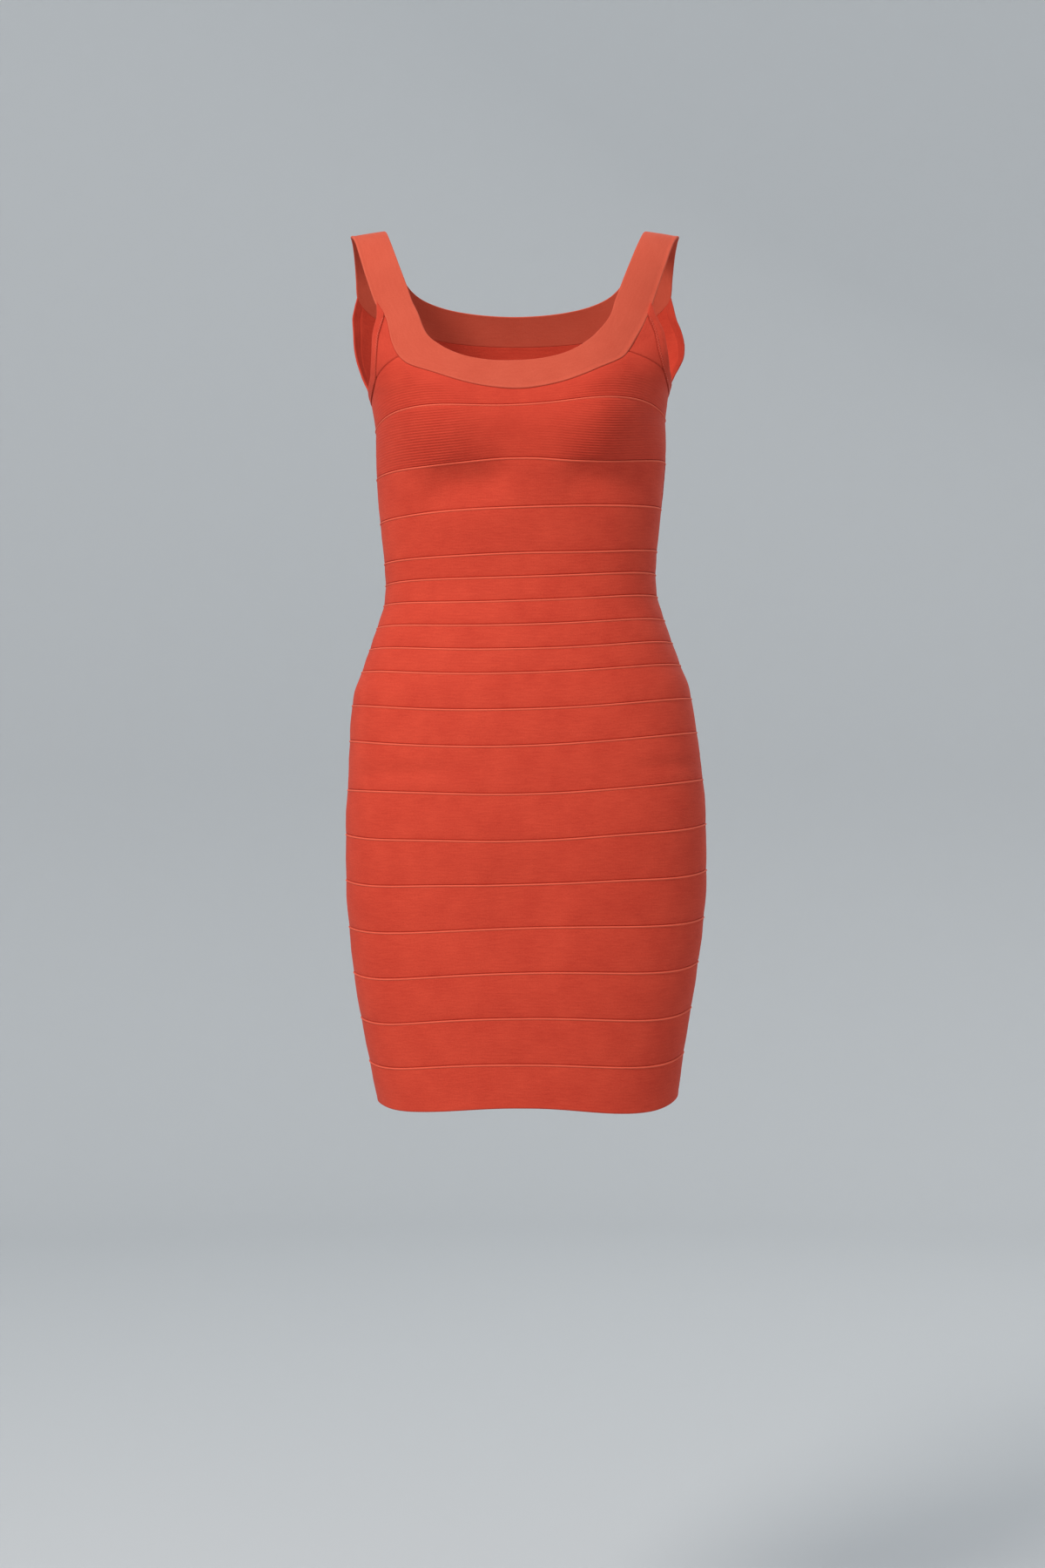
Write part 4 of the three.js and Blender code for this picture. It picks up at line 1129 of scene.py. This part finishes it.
def buildBackYoke():
    # its top follows the bindings and the back neckband, with a tip at each strap
    side = armPanelEdge[armhole["cornerBack"] * armhole["splits"]:].copy()
    side[0] = side[0] + (side[1] - side[0]) * armhole["yokeStart"]
    side[-1, 1] += armhole["yokeTip"]
    otherSide = flipped(side, backSide)
    band = backPanelEdge.copy()
    band[0] = band[0] + (band[1] - band[0]) * armhole["cornerTrim"]
    band[-1] = flipped(band[:1], backSide)[0]
    tip, otherTip = np.array([side[-1], band[-1]]), np.array([otherSide[-1], band[0]])
    path = pathHeights([side, tip, band, otherTip, otherSide])
    curvedPiece("backYoke", "backYoke", path, meshRows["yokeColumn"], backYokeHeight)


def bandPiece(name, kindName, lower, upper, lift=0):
    # a band on the front between two paths, from its seam edge to its free edge
    lower, upper = splitRows(lower, meshRows["bandSplits"]), splitRows(upper, meshRows["bandSplits"])
    points, _ = clothGrid(lower[:, 0], lower[:, 1], frontSide)
    other, _ = clothGrid(upper[:, 0], upper[:, 1], frontSide)
    width = np.linalg.norm(points - other, axis=1)
    rise = spacedRows(width, meshRows["edge"], meshRows["edge"], meshRows["bandRow"])
    share = rise / width[:, None]
    turn = lower[:, :1] + (upper[:, :1] - lower[:, :1]) * share
    z = lower[:, 1:] + (upper[:, 1:] - lower[:, 1:]) * share
    points, facing = clothGrid(turn, z, frontSide)
    length = lengthsAlong(points[:, rise.shape[1] // 2])
    fromEnds = np.minimum(length, length[-1] - length)
    lifted = lift * (1 - smoothStep(fromEnds, armhole["flapFlat"], armhole["flapDown"]))
    points = points + facing * lifted[:, None, None]
    made = wallObject(name, points, facing, rise, width[:, None] - rise)
    finishPiece(made, kinds[kindName], seeds[name], areaAlong(length, width))


def buildBindings():
    def lengthened(path):
        first = path[0] - (path[1] - path[0]) * armhole["bindingFlap"]
        last = path[-1] - (path[-2] - path[-1]) * armhole["bindingFlap"]
        return np.vstack([first, path, last])

    seamEdge, freeEdge = lengthened(armholeInset(armhole["bindingWidth"])), lengthened(armholePath())
    bandPiece("rightArmholeBinding", "binding", seamEdge, freeEdge, armhole["flapLift"])
    seamEdge, freeEdge = flipped(seamEdge, frontSide), flipped(freeEdge, frontSide)
    bandPiece("leftArmholeBinding", "binding", seamEdge, freeEdge, armhole["flapLift"])


def buildCorners():
    neckSide = neckPanelEdge[-1 - cornerStations:].copy()
    armSide = armPanelEdge[:armhole["cornerFront"] * armhole["splits"] + 1][::-1].copy()
    for path in (neckSide, armSide):
        path[-1] = path[-1] + (path[-2] - path[-1]) * armhole["cornerTrim"]
        path[0, 1] += gap
    bandPiece("rightFrontCorner", "corner", neckSide, armSide)
    bandPiece("leftFrontCorner", "corner", flipped(neckSide, frontSide), flipped(armSide, frontSide))


def buildNeckband(name, half, side):
    # the scoop neckband and its two straps, which meet the other half in a shoulder seam
    stations = splitRows(neckStations(half), meshRows["bandSplits"])
    inX, inZ, outX, outZ = stations.T
    width = np.hypot(inX - outX, inZ - outZ)
    rise = spacedRows(width, meshRows["roll"], meshRows["edge"], meshRows["neckRow"])
    share = rise / width[:, None]
    x = outX[:, None] + (inX - outX)[:, None] * share
    z = outZ[:, None] + (inZ - outZ)[:, None] * share
    grid = facePoint(turnAt(x, z, side), z)
    along = np.gradient(grid, axis=0)
    along[0] = along[-1] = (0, 1, 0)  # on top of the shoulders the band runs level, front to back
    across = np.gradient(grid, axis=1)
    normal = unit(np.cross(along, across))
    outwards = np.sign(normal[..., 1] * side)
    outwards[0], outwards[-1] = np.sign(normal[0, :, 2]), np.sign(normal[-1, :, 2])
    normal = normal * np.where(outwards < 0, -1, 1)[..., None]
    start = grid + np.array([0, side * gap / 2, 0])
    points = posed(start)
    facing = unit(posed(start + normal) - points)
    made = wallObject(name, points, facing, rise, width[:, None] - rise)
    length = lengthsAlong(points[:, rise.shape[1] // 2])
    finishPiece(made, kinds["neckband"], seeds[name], areaAlong(length, width))


buildStrips()
print("strips")
buildFrontStrip01()
buildBackStrip01()
buildBackYoke()
buildBindings()
buildCorners()
buildNeckband("frontNeckband", frontNeckRows, frontSide)
buildNeckband("backNeckband", backNeckRows, backSide)
print("yoke, corners, bindings and neckbands")
for name, count, off in pieceList:
    print(f"  {name}: {count} faces, {off:.2f} mm from its node's box")


# Stitches

stitching = {
    "armhole": {"Stitch length": 1.3, "Stitch width": 1.7, "Thread radius": 0.34},
    "side": {"Stitch length": 1.6, "Stitch width": 1.9, "Thread radius": 0.2},
}
stitchLine = {
    "inset": 1.2,         # from the binding's seam edge towards its free edge
    "splits": 8,
    "armholeLift": 0.45,  # above the plain face
    "sideLift": 0.1,
    "sideTop": -164,
    "sideFoot": -806,
    "sidePoints": 600,
}


def threadPiece(name, points, facing, look):
    # a line of points, sewn over by the thread's tree
    mesh = bpy.data.meshes.new(name)
    mesh.from_pydata((points * millimetre).tolist(), [(i, i + 1) for i in range(len(points) - 1)], [])
    layer = mesh.attributes.new("facing", "FLOAT_VECTOR", "POINT")
    layer.data.foreach_set("vector", facing.ravel())
    made = bpy.data.objects.new(name, mesh)
    bpy.context.scene.collection.objects.link(made)
    values = {key: value * millimetre for key, value in look.items()}
    values["Thread"] = threadKnit
    grown(made, threadTree, values)
    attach(made, "root")


def buildStitches():
    # overlock zigzag over the seam of each armhole binding
    path = splitRows(armholeInset(armhole["bindingWidth"] - stitchLine["inset"]), stitchLine["splits"])
    for name, line in (("rightArmholeStitches", path), ("leftArmholeStitches", flipped(path, frontSide))):
        points, facing = clothGrid(line[:, 0], line[:, 1], frontSide)
        threadPiece(name, points + facing * stitchLine["armholeLift"], facing, stitching["armhole"])
    # linked side seams, from the armholes to the hem
    z = np.linspace(stitchLine["sideTop"], stitchLine["sideFoot"], stitchLine["sidePoints"])
    for name, turn in (("rightSideStitches", 0.0), ("leftSideStitches", 180.0)):
        points, facing = clothGrid(np.full_like(z, turn), z, backSide)
        threadPiece(name, points + facing * stitchLine["sideLift"], facing, stitching["side"])


buildStitches()
print("stitches")


# Stage: a pale floor that curves up into a plain backdrop all round

stage = {
    "floor": -1400,
    "flat": 1500,       # first ring of the flat floor
    "cove": 900,        # radius of the curve between floor and wall
    "radius": 4200,
    "height": 2600,
    "coveSteps": 13,
    "around": 96,
    "colour": "#C8CBCE",
    "roughness": 0.9,
}


def buildStage():
    profile = [(stage["flat"], stage["floor"])]
    centreX, centreZ = stage["radius"] - stage["cove"], stage["floor"] + stage["cove"]
    for angle in np.radians(np.linspace(-90, 0, stage["coveSteps"])):
        profile.append((centreX + stage["cove"] * math.cos(angle), centreZ + stage["cove"] * math.sin(angle)))
    profile.append((stage["radius"], stage["height"]))
    rows, count = len(profile), stage["around"]
    vertices = [(r * math.cos(a) * millimetre, r * math.sin(a) * millimetre, z * millimetre)
                for a in np.linspace(0, 2 * math.pi, count, endpoint=False) for r, z in profile]
    vertices.append((0, 0, stage["floor"] * millimetre))
    faces = []
    for i in range(count):
        j = (i + 1) % count
        faces.append((len(vertices) - 1, i * rows, j * rows))
        for k in range(rows - 1):
            faces.append((i * rows + k, i * rows + k + 1, j * rows + k + 1, j * rows + k))
    mesh = bpy.data.meshes.new("floor")
    mesh.from_pydata(vertices, [], faces)
    mesh.shade_smooth()
    floor = bpy.data.objects.new("floor", mesh)
    bpy.context.scene.collection.objects.link(floor)
    material = bpy.data.materials.new("paleMattePaint")
    material.use_nodes = True
    shader = material.node_tree.nodes["Principled BSDF"]
    shader.inputs["Base Color"].default_value = hexColour(stage["colour"])
    shader.inputs["Roughness"].default_value = stage["roughness"]
    mesh.materials.append(material)


# Lights and camera: places and sizes are in metres
lights = {
    "keyLight": {"place": (-1.75, -2.6, 2.0), "size": 1.2, "power": 107, "colour": "#FFF9F2"},
    "frontFill": {"place": (0.9, -3.2, 0.2), "size": 2.4, "power": 4, "colour": "#F4F8FF"},
    "backFill": {"place": (1.6, 3.0, 1.6), "size": 2.0, "power": 30, "colour": "#FFFBF6"},
}
lightTarget = (0, 0, -0.45)
sky = {"colour": "#DDE4E8", "strength": 0.9}
# level, three metres in front, with the photograph's framing
camera = {"place": (0.007, -3.0, -0.5205), "focalPixels": 3654, "imageHeight": 1800, "sensor": 36}


def buildLights():
    for name, look in lights.items():
        data = bpy.data.lights.new(name, "AREA")
        data.shape = "DISK"
        data.size = look["size"]
        data.energy = look["power"]
        data.color = hexColour(look["colour"])[:3]
        light = bpy.data.objects.new(name, data)
        light.location = look["place"]
        aim = Vector(lightTarget) - Vector(look["place"])
        light.rotation_euler = aim.to_track_quat("-Z", "Y").to_euler()
        bpy.context.scene.collection.objects.link(light)
    world = bpy.data.worlds.new("softSky")
    world.use_nodes = True
    background = world.node_tree.nodes["Background"]
    background.inputs["Color"].default_value = hexColour(sky["colour"])
    background.inputs["Strength"].default_value = sky["strength"]
    bpy.context.scene.world = world


buildStage()
buildLights()
lens = bpy.data.cameras.new("camera")
lens.sensor_width = camera["sensor"]
lens.lens = camera["focalPixels"] / camera["imageHeight"] * camera["sensor"]
eye = bpy.data.objects.new("camera", lens)
eye.location = camera["place"]
eye.rotation_euler = (math.pi / 2, 0, 0)
bpy.context.scene.collection.objects.link(eye)
bpy.context.scene.camera = eye
bpy.context.scene.view_settings.view_transform = "Standard"
print("stage, lights and camera")
